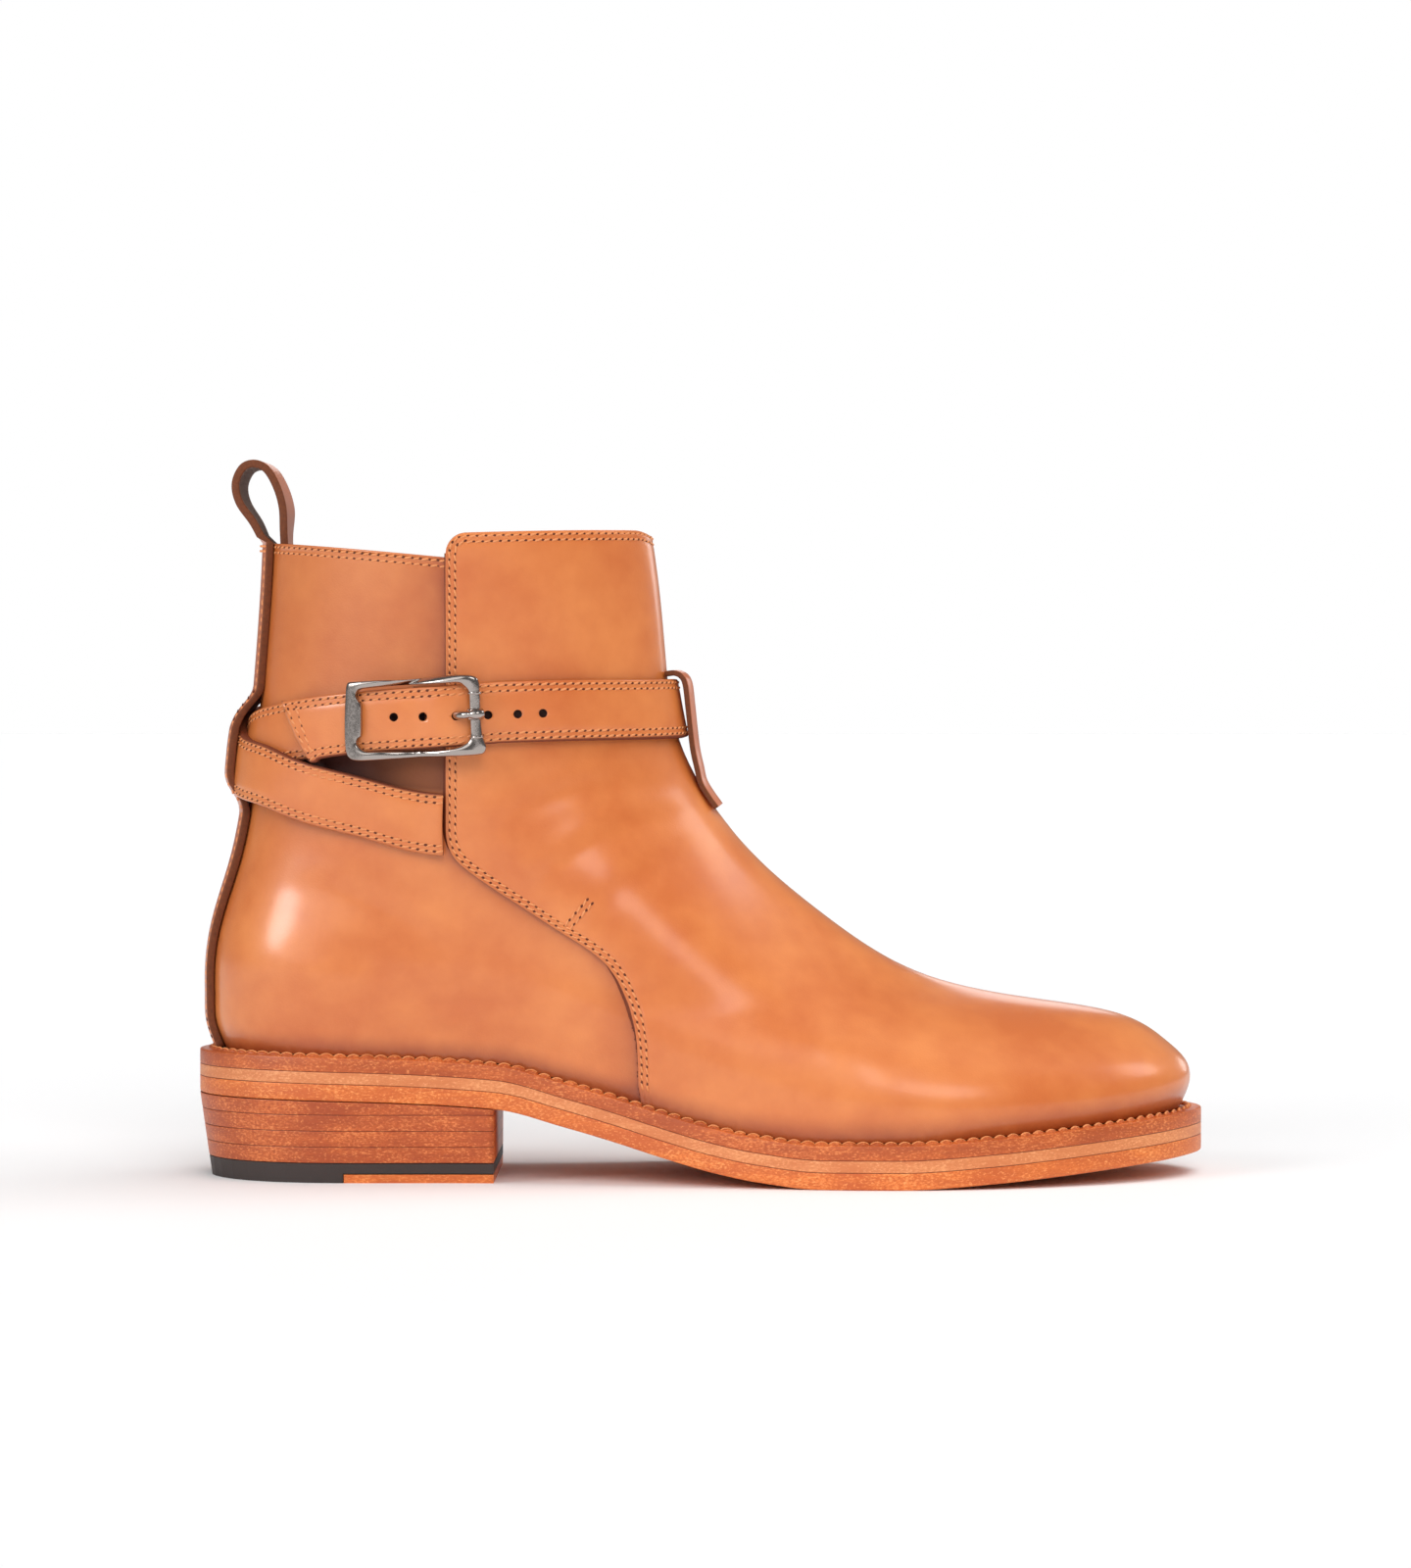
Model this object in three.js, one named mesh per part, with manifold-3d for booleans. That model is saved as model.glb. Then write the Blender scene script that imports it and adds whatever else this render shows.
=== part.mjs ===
// Right jodhpur boot, standing on Z = 0, its toe towards +X and its outer side towards -Y.
// Lengths are millimetres and angles are degrees. The origin is the middle of the heel's bottom face.
// Inside the group, X is counted from the rearmost point of the welt.
import * as THREE from "three";
import { mergeVertices } from "three/addons/utils/BufferGeometryUtils.js";
import Module from "manifold-3d";

const wasm = await Module();
wasm.setup();

// Last: the feather line is where the upper meets the welt.
const FEATHER_LENGTH = 292.2;
const BALL_WIDTH = 94;
const TOE_SWING = 5;
const BACK_HEIGHT = 154;
const FRONT_HEIGHT = 176.6;

// Sole.
const WELT_MARGIN = 8.3;
const OUTSOLE_THICKNESS = 5;
const MIDSOLE_THICKNESS = 3.3;
const WELT_THICKNESS = 4.4;
const TOE_SPRING = 7;
const EDGE_BEVEL = 0.5;
const SEAM = 0.3;

// Heel.
const HEEL_HEIGHT = 25.4;
const HEEL_LENGTH = 91.6;
const HEEL_TAPER = 3.6;
const TOPLIFT_THICKNESS = 5.9;
const TOPLIFT_SKIN = 3;
const TOPLIFT_INSERT_LENGTH = 45;
const LIFT_THICKNESS = 4.87;
const LIFT_COUNT = 3;

// Upper.
const WALL = 1.7;
const PANEL_STEP = 1.3;
const PANEL_REAR = 77.7;
const PANEL_CORNER = 6;
const COLLAR_DROP = 5.4;
const INSOLE_RISE = 2.5;

// Straps: heights are above the floor.
const STRAP_WIDTH = 18.4;
const STRAP_THICKNESS = 2.6;
const STRAP_HEIGHT = 142;
const CROSS_HEIGHT = 128;
const ROOT_HEIGHT = 108;
const STRAP_CLEARANCE = 0.5;
const HOLE_DIAMETER = 2.6;
const HOLE_SPACING = 8.8;

// Back strip with its pull loop, and the keeper on the front.
const STRIP_WIDTH = 18;
const STRIP_THICKNESS = 2.4;
const LOOP_HEIGHT = 26;
const LOOP_DEPTH = 17.7;
const KEEPER_WIDTH = 16;
const KEEPER_THICKNESS = 1.6;
const KEEPER_STANDOFF = 6;
const KEEPER_BEND_RADIUS = 37.6;

// Buckle.
const BUCKLE_MIDDLE = 69;
const BUCKLE_LENGTH = 40.4;
const BUCKLE_WIDTH = 25.2;
const BUCKLE_BAR = 3;
const CENTRE_BAR = 2.2;
const BUCKLE_DIP = 5.2;
const PRONG_DIAMETER = 1.8;

const { degToRad: radians, euclideanModulo, lerp, smoothstep } = THREE.MathUtils;

// Natural cubic spline through values at evenly spaced knots from 0 to 1.
function evenSpline(values) {
  const n = values.length - 1;
  const bend = new Array(n + 1).fill(0);
  const factor = new Array(n + 1).fill(0);
  for (let i = 1; i < n; i++) {
    const pivot = 4 - factor[i - 1];
    factor[i] = 1 / pivot;
    bend[i] = (6 * (values[i + 1] - 2 * values[i] + values[i - 1]) - bend[i - 1]) / pivot;
  }
  for (let i = n - 1; i > 0; i--) {
    bend[i] -= factor[i] * bend[i + 1];
  }
  return (share) => {
    const i = Math.min(Math.max(Math.floor(share * n), 0), n - 1);
    const f = share * n - i;
    const g = 1 - f;
    const line = g * values[i] + f * values[i + 1];
    return line + ((g ** 3 - g) * bend[i] + (f ** 3 - f) * bend[i + 1]) / 6;
  };
}

// Curve through rows of [position, value] that never swings past its rows.
function steadyCurve(rows) {
  const slope = rows.slice(1).map((row, i) => (row[1] - rows[i][1]) / (row[0] - rows[i][0]));
  const tangent = rows.map((row, i) => {
    if (i === 0 || i === rows.length - 1 || slope[i - 1] * slope[i] <= 0) {
      return 0;
    }
    return (2 * slope[i - 1] * slope[i]) / (slope[i - 1] + slope[i]);
  });
  return (x) => {
    let i = 0;
    while (i < rows.length - 2 && x > rows[i + 1][0]) {
      i++;
    }
    const width = rows[i + 1][0] - rows[i][0];
    const f = Math.min(Math.max((x - rows[i][0]) / width, 0), 1);
    const rise = rows[i + 1][1] - rows[i][1];
    const start = tangent[i] * width;
    const end = tangent[i + 1] * width;
    return rows[i][1] + f * start + f * f * (3 * rise - 2 * start - end) + f ** 3 * (start + end - 2 * rise);
  };
}

// Value of x in [low, high] where a rising function reaches the target.
function solve(rising, target, low, high) {
  for (let i = 0; i < 36; i++) {
    const middle = (low + high) / 2;
    if (rising(middle) < target) {
      low = middle;
    } else {
      high = middle;
    }
  }
  return (low + high) / 2;
}

// Welt margin outside the feather line, as shares of WELT_MARGIN, every 30 degrees from rear to toe.
const marginShare = evenSpline([0.9, 0.76, 0.58, 0.67, 0.8, 0.87, 1]);
const margin = (angle) => WELT_MARGIN * marginShare(Math.abs(angle) / 180);
const FEATHER_REAR = margin(0);
const SOLE_LENGTH = FEATHER_REAR + FEATHER_LENGTH + margin(180);
const FLAT_START = 0.617;
const FLAT_END = 0.69;

// Underside of the outsole, by share of the sole's length: shares of HEEL_HEIGHT, then of TOE_SPRING.
const heelRocker = steadyCurve([
  [0, 1],
  [0.15, 0.975],
  [0.298, 0.886],
  [0.367, 0.68],
  [0.414, 0.52],
  [0.461, 0.345],
  [0.507, 0.19],
  [0.552, 0.08],
  [FLAT_START, 0],
]);
const toeRocker = steadyCurve([
  [FLAT_END, 0],
  [0.782, 0.22],
  [0.838, 0.42],
  [0.893, 0.63],
  [0.948, 0.84],
  [1, 1],
]);
const rocker = (share) => HEEL_HEIGHT * heelRocker(share) + TOE_SPRING * toeRocker(share);
const midsoleBottom = (share) => rocker(share) + OUTSOLE_THICKNESS + SEAM;
const weltBottom = (share) => midsoleBottom(share) + MIDSOLE_THICKNESS + SEAM;
const weltTop = (share) => weltBottom(share) + WELT_THICKNESS;

// Side view of the last, level by level from feather line to collar. X is a share of FEATHER_LENGTH, the
// rises are shares of BACK_HEIGHT and FRONT_HEIGHT, and sag is how far a level follows the sole's curve.
const PROFILE_COLUMNS = ["backX", "backRise", "frontX", "frontRise", "sag", "swing"];
const PROFILE = [
  [0, 0, 1, 0, 1, 1],
  [-0.009, 0.046, 1.0116, 0.043, 1, 1],
  [-0.0113, 0.079, 1.0079, 0.078, 0.98, 1],
  [-0.0113, 0.108, 0.9863, 0.112, 0.92, 0.98],
  [-0.0113, 0.14, 0.9353, 0.156, 0.8, 0.9],
  [-0.0096, 0.192, 0.8292, 0.186, 0.6, 0.75],
  [-0.002, 0.264, 0.7194, 0.234, 0.35, 0.5],
  [0.012, 0.351, 0.6095, 0.351, 0.12, 0.25],
  [0.0236, 0.445, 0.5257, 0.485, 0, 0.1],
  [0.0329, 0.575, 0.4754, 0.631, 0, 0],
  [0.0411, 0.738, 0.46, 0.768, 0, 0],
  [0.0472, 0.894, 0.4525, 0.898, 0, 0],
  [0.05, 1, 0.4446, 1, 0, 0],
];
const profileAt = PROFILE_COLUMNS.map((name, column) => evenSpline(PROFILE.map((row) => row[column])));

// Fullness of each level every 30 degrees from back to front, as shares of BALL_WIDTH.
const OUTER_FULLNESS = [
  [0.66, 0.574, 0.394, 0.457, 0.622, 0.66, 0.723],
  [0.68, 0.59, 0.404, 0.468, 0.638, 0.67, 0.718],
  [0.68, 0.6, 0.418, 0.473, 0.633, 0.638, 0.656],
  [0.68, 0.606, 0.423, 0.473, 0.606, 0.59, 0.572],
  [0.675, 0.606, 0.43, 0.457, 0.547, 0.457, 0.479],
  [0.638, 0.585, 0.43, 0.431, 0.489, 0.411, 0.383],
  [0.571, 0.527, 0.418, 0.41, 0.468, 0.378, 0.357],
  [0.489, 0.468, 0.404, 0.399, 0.441, 0.356, 0.365],
  [0.421, 0.426, 0.399, 0.399, 0.41, 0.362, 0.356],
  [0.385, 0.399, 0.399, 0.399, 0.399, 0.362, 0.36],
  [0.374, 0.388, 0.399, 0.404, 0.399, 0.372, 0.365],
  [0.368, 0.383, 0.402, 0.41, 0.404, 0.378, 0.367],
  [0.364, 0.383, 0.404, 0.415, 0.407, 0.381, 0.368],
];
const INNER_FULLNESS = [
  [0.66, 0.574, 0.356, 0.335, 0.537, 0.638, 0.723],
  [0.68, 0.59, 0.374, 0.346, 0.566, 0.649, 0.718],
  [0.68, 0.6, 0.387, 0.356, 0.564, 0.622, 0.656],
  [0.68, 0.606, 0.394, 0.362, 0.553, 0.574, 0.572],
  [0.675, 0.606, 0.399, 0.367, 0.498, 0.447, 0.479],
  [0.638, 0.585, 0.399, 0.367, 0.441, 0.404, 0.383],
  [0.571, 0.527, 0.397, 0.362, 0.418, 0.372, 0.357],
  [0.489, 0.468, 0.383, 0.367, 0.399, 0.351, 0.365],
  [0.421, 0.426, 0.383, 0.378, 0.383, 0.351, 0.356],
  [0.385, 0.399, 0.386, 0.383, 0.383, 0.356, 0.36],
  [0.374, 0.388, 0.394, 0.394, 0.391, 0.367, 0.365],
  [0.368, 0.383, 0.402, 0.41, 0.404, 0.378, 0.367],
  [0.364, 0.383, 0.404, 0.415, 0.407, 0.381, 0.368],
];
const columnSplines = (table) => table[0].map((_, column) => evenSpline(table.map((row) => row[column])));
const outerFullness = columnSplines(OUTER_FULLNESS);
const innerFullness = columnSplines(INNER_FULLNESS);

// Point of the last's surface: angle 0 is the back, negative angles are the outer side, 180 is the front.
function lastPoint(angle, level) {
  const [backX, backRise, frontX, frontRise, sag, swing] = profileAt.map((curve) => curve(level));
  const along = (1 - Math.cos(radians(angle))) / 2;
  const rear = FEATHER_REAR + FEATHER_LENGTH * backX;
  const front = FEATHER_REAR + FEATHER_LENGTH * frontX;
  const rearFoot = weltTop(FEATHER_REAR / SOLE_LENGTH) + SEAM;
  const toeFoot = weltTop((FEATHER_REAR + FEATHER_LENGTH) / SOLE_LENGTH) + SEAM;
  const seat = weltTop((FEATHER_REAR + FEATHER_LENGTH * along) / SOLE_LENGTH) + SEAM;
  const dip = seat - lerp(rearFoot, toeFoot, along);
  const backZ = rearFoot + BACK_HEIGHT * backRise;
  const frontZ = toeFoot + FRONT_HEIGHT * frontRise;
  const side = angle < 0 ? outerFullness : innerFullness;
  const fullness = evenSpline(side.map((curve) => curve(level)));
  return new THREE.Vector3(
    lerp(rear, front, along),
    Math.sin(radians(angle)) * BALL_WIDTH * fullness(Math.abs(angle) / 180) + TOE_SWING * swing * along ** 2,
    lerp(backZ, frontZ, along) + sag * dip,
  );
}

// Point at a distance outside the last's surface, square to it. The rims at both ends stay level.
function besideLast(angle, level, distance) {
  const turned = euclideanModulo(angle + 180, 360) - 180;
  const here = lastPoint(turned, level);
  const step = 0.002;
  const round = lastPoint(turned + 0.5, level).sub(lastPoint(turned - 0.5, level));
  const up = lastPoint(turned, Math.min(level + step, 1)).sub(lastPoint(turned, Math.max(level - step, 0)));
  const outward = up.cross(round).normalize();
  const point = here.clone().addScaledVector(outward, distance);
  if (level <= 0 || level >= 1) {
    point.z = here.z;
  }
  return point;
}

// The same, found by its height above the floor.
function atHeight(angle, height, distance) {
  const turned = euclideanModulo(angle + 180, 360) - 180;
  const level = solve((t) => lastPoint(turned, t).z, height, 0, 1);
  return besideLast(turned, level, distance);
}

// Angle where the last, at a height, reaches a distance X from the rear, on one side (-1 outer, 1 inner).
function sideAngle(side, x, height) {
  return side * solve((a) => atHeight(side * a, height, 0).x, x, 0, 180);
}

function facesOut(geometry) {
  const p = geometry.getAttribute("position");
  const order = geometry.getIndex();
  let volume = 0;
  const [a, b, c] = [new THREE.Vector3(), new THREE.Vector3(), new THREE.Vector3()];
  for (let i = 0; i < order.count; i += 3) {
    a.fromBufferAttribute(p, order.getX(i));
    b.fromBufferAttribute(p, order.getX(i + 1));
    c.fromBufferAttribute(p, order.getX(i + 2));
    volume += a.dot(b.cross(c));
  }
  return volume > 0;
}

// Closed solid through rings of equal length; a tube's last ring joins its first, others get end caps.
function ringSolid(rings, tube = false) {
  const count = rings[0].length;
  const points = rings.flat();
  const faces = [];
  const addQuad = (a, b, c, d) => faces.push(a, b, c, a, c, d);
  const bands = tube ? rings.length : rings.length - 1;
  for (let r = 0; r < bands; r++) {
    const low = r * count;
    const high = ((r + 1) % rings.length) * count;
    for (let i = 0; i < count; i++) {
      const j = (i + 1) % count;
      addQuad(low + i, low + j, high + j, high + i);
    }
  }
  if (!tube) {
    const top = (rings.length - 1) * count;
    for (let i = 0; i < Math.ceil(count / 2); i++) {
      const mirror = (count - i) % count;
      addQuad(i, mirror, count - i - 1, i + 1);
      addQuad(top + i, top + i + 1, top + count - i - 1, top + mirror);
    }
  }
  return weld(points, faces);
}

// Geometry from points and triangles, shared points merged and empty triangles dropped.
function weld(points, faces) {
  const raw = new THREE.BufferGeometry().setFromPoints(points);
  raw.setIndex(faces);
  const merged = mergeVertices(raw, 1e-4);
  const order = merged.getIndex().array;
  const kept = [];
  for (let i = 0; i < order.length; i += 3) {
    const [a, b, c] = [order[i], order[i + 1], order[i + 2]];
    if (a !== b && b !== c && c !== a) {
      kept.push(a, b, c);
    }
  }
  merged.setIndex(kept);
  if (!facesOut(merged)) {
    for (let i = 0; i < kept.length; i += 3) {
      [kept[i + 1], kept[i + 2]] = [kept[i + 2], kept[i + 1]];
    }
    merged.setIndex(kept);
  }
  return merged;
}

function toSolid(geometry) {
  geometry.deleteAttribute("normal");
  geometry.deleteAttribute("uv");
  const merged = mergeVertices(geometry, 1e-4);
  return new wasm.Manifold(
    new wasm.Mesh({
      numProp: 3,
      vertProperties: new Float32Array(merged.getAttribute("position").array),
      triVerts: new Uint32Array(merged.getIndex().array),
    }),
  );
}

function toGeometry(solid) {
  const mesh = solid.getMesh();
  const geometry = new THREE.BufferGeometry();
  geometry.setAttribute("position", new THREE.BufferAttribute(mesh.vertProperties, 3));
  geometry.setIndex(new THREE.BufferAttribute(mesh.triVerts, 1));
  return geometry;
}

const evenly = (count, from, to) =>
  Array.from({ length: count + 1 }, (_, i) => lerp(from, to, i / count));

// Outline of the sole at a distance outside the feather line, on one side (-1 outer, 1 inner).
function outlinePoint(angle, side, outset) {
  const here = lastPoint(side * angle, 0);
  const ahead = lastPoint(side * angle + 0.5, 0);
  const behind = lastPoint(side * angle - 0.5, 0);
  const run = ahead.sub(behind).setZ(0).normalize();
  return new THREE.Vector2(here.x - outset(angle) * run.y, here.y + outset(angle) * run.x);
}

// Ring round the sole: one point on each side at every share of the length between the two ends.
function outlineRing(shares, outset, height, end = Infinity) {
  const first = FEATHER_REAR - outset(0);
  const last = Math.min(FEATHER_REAR + FEATHER_LENGTH + outset(180), end);
  const rows = shares.map((share) => {
    const x = lerp(first, last, share);
    const z = height(x / SOLE_LENGTH);
    return [-1, 1].map((side) => {
      const angle = solve((a) => outlinePoint(a, side, outset).x, x, 0, 180);
      return new THREE.Vector3(x, outlinePoint(angle, side, outset).y, z);
    });
  });
  const outer = rows.map((row) => row[0]);
  const inner = rows.map((row) => row[1]).reverse();
  const closedEnd = end === Infinity ? 1 : 0;
  return [...outer, ...inner.slice(closedEnd, -1)];
}

// Shares of the length where the sole's outlines have points, with two inside the flat spot.
const FLAT_EDGE = 0.003;
const SOLE_SHARES = evenly(30, 0, 180).map((angle) => (1 - Math.cos(radians(angle))) / 2);
SOLE_SHARES.push(FLAT_START + FLAT_EDGE, FLAT_END - FLAT_EDGE);
SOLE_SHARES.sort((a, b) => a - b);
const HEEL_SHARES = evenly(14, 0, 90).map((angle) => 1 - Math.cos(radians(angle)));

const raised = (height, by) => (share) => height(share) + by;
const inset = (by) => (angle) => margin(angle) - by;

// Layer of the sole with bevelled edges.
function soleLayer(bottom, top) {
  return ringSolid([
    outlineRing(SOLE_SHARES, inset(EDGE_BEVEL), bottom),
    outlineRing(SOLE_SHARES, inset(0), raised(bottom, EDGE_BEVEL)),
    outlineRing(SOLE_SHARES, inset(0), raised(top, -EDGE_BEVEL)),
    outlineRing(SOLE_SHARES, inset(EDGE_BEVEL), top),
  ]);
}

function weltRing() {
  const mouth = () => -WALL - SEAM;
  return ringSolid(
    [
      outlineRing(SOLE_SHARES, mouth, weltBottom),
      outlineRing(SOLE_SHARES, inset(EDGE_BEVEL), weltBottom),
      outlineRing(SOLE_SHARES, inset(0), raised(weltBottom, EDGE_BEVEL)),
      outlineRing(SOLE_SHARES, inset(0), raised(weltTop, -EDGE_BEVEL)),
      outlineRing(SOLE_SHARES, inset(EDGE_BEVEL), weltTop),
      outlineRing(SOLE_SHARES, mouth, weltTop),
    ],
    true,
  );
}

function insolePlate() {
  const outline = () => -WALL - 2 * SEAM;
  return ringSolid([
    outlineRing(SOLE_SHARES, outline, weltBottom),
    outlineRing(SOLE_SHARES, outline, raised(weltTop, INSOLE_RISE)),
  ]);
}

// Slice of the heel between two heights, narrower towards the floor, cut square at its breast.
function heelSlice(bottom, top) {
  const taperAt = (height) => inset(HEEL_TAPER * (1 - height(0) / HEEL_HEIGHT));
  const ring = (height) => outlineRing(HEEL_SHARES, taperAt(height), height, HEEL_LENGTH);
  return ringSolid([ring(bottom), ring(top)]);
}

const flat = (height) => () => height;

// Block far larger than the boot, from one X to another, and from one height to another.
function blockBetween(fromX, toX, fromZ, toZ) {
  const block = new THREE.BoxGeometry(toX - fromX, 2 * SOLE_LENGTH, toZ - fromZ);
  return toSolid(block.translate((fromX + toX) / 2, 0, (fromZ + toZ) / 2));
}

function topliftPieces() {
  const whole = toSolid(heelSlice(flat(0), flat(TOPLIFT_THICKNESS)));
  const insertRear = HEEL_LENGTH - TOPLIFT_INSERT_LENGTH;
  const skinBottom = TOPLIFT_THICKNESS - TOPLIFT_SKIN;
  const notch = blockBetween(insertRear - SEAM, 2 * HEEL_LENGTH, -TOPLIFT_THICKNESS, skinBottom);
  const insert = blockBetween(insertRear, 2 * HEEL_LENGTH, -TOPLIFT_THICKNESS, skinBottom - SEAM);
  return [toGeometry(whole.subtract(notch)), toGeometry(whole.intersect(insert))];
}

const liftTop = (i) => TOPLIFT_THICKNESS + LIFT_THICKNESS * i;

// Upper: one wall, with the front panel as a step over the quarters.
const ROUND = 48;
const OUTER_LEVELS = 20;
const INNER_LEVELS = 15;
const RIM_STEP = 0.004;

function shell(outerDistance, innerDistance, innerLevels, foot, rim) {
  const angles = evenly(ROUND, -180, 180).slice(0, -1);
  const ring = (distance) => (level) => angles.map((angle) => besideLast(angle, level, distance));
  const outside = evenly(OUTER_LEVELS, foot, rim).map(ring(outerDistance));
  const inside = evenly(innerLevels, rim, foot).map(ring(innerDistance));
  return ringSolid([...outside, ...inside], true);
}

// Solid as wide as the boot whose side view is a shape of X and Z.
function sideCut(shape) {
  const cut = new THREE.ExtrudeGeometry(shape, { depth: 2 * BALL_WIDTH, bevelEnabled: false });
  return toSolid(cut.rotateX(Math.PI / 2).translate(0, BALL_WIDTH, 0));
}

const COLLAR_HEIGHT = BACK_HEIGHT + weltTop(0) + SEAM;

// Slope of the front panel's rear edge: shares of FEATHER_LENGTH from its rear, and of STRAP_HEIGHT.
const PANEL_EDGE = [
  [0.244, 0.7],
  [0.262, 0.662],
  [0.324, 0.578],
  [0.383, 0.5],
  [0.415, 0.437],
  [0.431, 0.35],
  [0.437, 0.27],
];

// Side view of the front panel: a rounded top corner, an upright rear edge, then the slope to the welt.
function panelShape() {
  const lowest = -HEEL_HEIGHT;
  const highest = COLLAR_HEIGHT + FRONT_HEIGHT;
  const cornerFront = PANEL_REAR + PANEL_CORNER;
  const cornerTop = lastPoint(solve((a) => lastPoint(a, 1).x, cornerFront, 0, 180), 1).z;
  const edge = PANEL_EDGE.map(
    ([along, up]) => new THREE.Vector2(FEATHER_REAR + along * FEATHER_LENGTH, up * STRAP_HEIGHT),
  );
  return new THREE.Shape()
    .moveTo(cornerFront, highest)
    .lineTo(cornerFront, cornerTop)
    .quadraticCurveTo(PANEL_REAR, cornerTop, PANEL_REAR, cornerTop - PANEL_CORNER)
    .lineTo(PANEL_REAR, edge[0].y + PANEL_CORNER)
    .splineThru(edge)
    .lineTo(edge.at(-1).x, lowest)
    .lineTo(2 * SOLE_LENGTH, lowest)
    .lineTo(2 * SOLE_LENGTH, highest);
}

// Side view of what is cut away above the quarters' lower collar.
function collarShape() {
  const top = COLLAR_HEIGHT + FRONT_HEIGHT;
  const low = COLLAR_HEIGHT - COLLAR_DROP;
  return new THREE.Shape()
    .moveTo(-SOLE_LENGTH, COLLAR_HEIGHT)
    .lineTo(FEATHER_REAR + FEATHER_LENGTH * 0.05, COLLAR_HEIGHT)
    .quadraticCurveTo(PANEL_REAR / 2, COLLAR_HEIGHT - COLLAR_DROP / 2, PANEL_REAR, low)
    .lineTo(PANEL_REAR, top)
    .lineTo(-SOLE_LENGTH, top);
}

function upperWall() {
  const quarters = toSolid(shell(0, -WALL, INNER_LEVELS, 0, 1 - RIM_STEP));
  const panel = toSolid(shell(PANEL_STEP, -WALL / 2, OUTER_LEVELS, RIM_STEP, 1));
  const lowered = quarters.subtract(sideCut(collarShape()));
  return toGeometry(lowered.add(panel.intersect(sideCut(panelShape()))));
}

// Distance of a strap's inner face from the last, with the rise onto the front panel.
const PANEL_RAMP = 9;
const strapBed = (x) =>
  STRAP_CLEARANCE + PANEL_STEP * smoothstep(x, PANEL_REAR - PANEL_RAMP, PANEL_REAR - SEAM);

// Height of a strap's middle: -1 at its root, 0 where the straps cross at the back, 1 at the front.
const strapMiddle = (share) =>
  CROSS_HEIGHT + share * (share < 0 ? CROSS_HEIGHT - ROOT_HEIGHT : STRAP_HEIGHT - CROSS_HEIGHT);

// Angle at the strap's root, and the lead of its upper edge, where it meets the front panel's edge.
function rootRow(side) {
  const x = PANEL_REAR - 2 * SEAM;
  const lower = sideAngle(side, x, ROOT_HEIGHT - STRAP_WIDTH / 2);
  const upper = sideAngle(side, x, ROOT_HEIGHT + STRAP_WIDTH / 2);
  return [(lower + upper) / 2, -1, 0, 0, upper - lower];
}

// Rows along a strap: angle round the last (0 back, beyond 180 the outer side again), height of its middle,
// how far its lower and upper edges stand out over the other strap, and the lead of its upper edge.
const buckleAngle = sideAngle(-1, BUCKLE_MIDDLE, STRAP_HEIGHT);
const LONG_STRAP = [
  rootRow(-1),
  [-60, -0.72, 0, 0.3, -1],
  [-45, -0.53, 0.5, 1.15, 0],
  [-30, -0.31, 0.95, 1.1, 0],
  [-12, -0.13, 1, 1, 0],
  [12, 0.13, 1, 1, 0],
  [30, 0.42, 1.1, 0.95, 0],
  [45, 0.58, 1.15, 0.5, 0],
  [60, 0.72, 0.3, 0, 0],
  [80, 0.84, 0, 0, 0],
  [110, 0.94, 0, 0, 0],
  [150, 1, 0, 0, 0],
  [230, 0.99, 0, 0, 0],
  [buckleAngle + 336, 0.96, 0, 0, 0],
  [buckleAngle + 342, 0.93, 0.15, 0.15, 0],
  [buckleAngle + 349, 0.89, 0.72, 0.72, 0],
  [buckleAngle + 360, 0.83, 1, 1, 0],
  [buckleAngle + 375, 0.74, 1.05, 1.05, 0],
  [buckleAngle + 388, 0.62, 1.1, 1.1, 3],
  [buckleAngle + 396, 0.52, 1.1, 1.1, 12],
];
const BUCKLE_STRAP = [
  rootRow(1),
  [60, -0.72, 0, 0, 1],
  [45, -0.53, 0, 0, 0],
  [30, -0.31, 0, 0, 0],
  [12, -0.13, 0, 0, 0],
  [-12, 0.13, 0, 0, 0],
  [-30, 0.42, 0, 0, 0],
  [-45, 0.58, 0, 0, 0],
  [-60, 0.72, 0, 0, 0],
  [buckleAngle + 4, 0.8, 0, 0, 0],
];

// Strap swept along its rows, with a station every few degrees round the last. It thins towards its root,
// which lies against the panel's edge.
const STATION_TURN = 6;
const ROOT_TURN = 14;

function strapSolid(rows) {
  const way = Math.sign(rows[1][0] - rows[0][0]);
  const column = (index) => steadyCurve(rows.map((row) => [way * row[0], row[index]]));
  const [middle, lower, upper, lead] = [1, 2, 3, 4].map(column);
  const start = way * rows[0][0];
  const end = way * rows[rows.length - 1][0];
  const stations = evenly(Math.round((end - start) / STATION_TURN), start, end);
  const rings = stations.map((station) => {
    const height = strapMiddle(middle(station));
    const thinning = smoothstep(station, start - ROOT_TURN, start + ROOT_TURN);
    const thickness = STRAP_THICKNESS * thinning;
    const edge = (side, stand) => {
      const angle = way * station + (side * lead(station)) / 2;
      const z = height + (side * STRAP_WIDTH) / 2;
      const bed = strapBed(atHeight(angle, z, 0).x) + stand(station) * (STRAP_THICKNESS + SEAM);
      return [atHeight(angle, z, bed), atHeight(angle, z, bed + thickness)];
    };
    const [lowerIn, lowerOut] = edge(-1, lower);
    const [upperIn, upperOut] = edge(1, upper);
    return [lowerIn, lowerOut, upperOut, upperIn];
  });
  return ringSolid(rings);
}

// Degrees round the last for each millimetre along the strap at the buckle.
const aheadOfBuckle = atHeight(buckleAngle - 1, STRAP_HEIGHT, 0);
const buckleStretch = 1 / (aheadOfBuckle.x - atHeight(buckleAngle, STRAP_HEIGHT, 0).x);
const BUCKLE_SHARE = 0.83;
const BUCKLE_SLOPE = 0.075;

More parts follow.
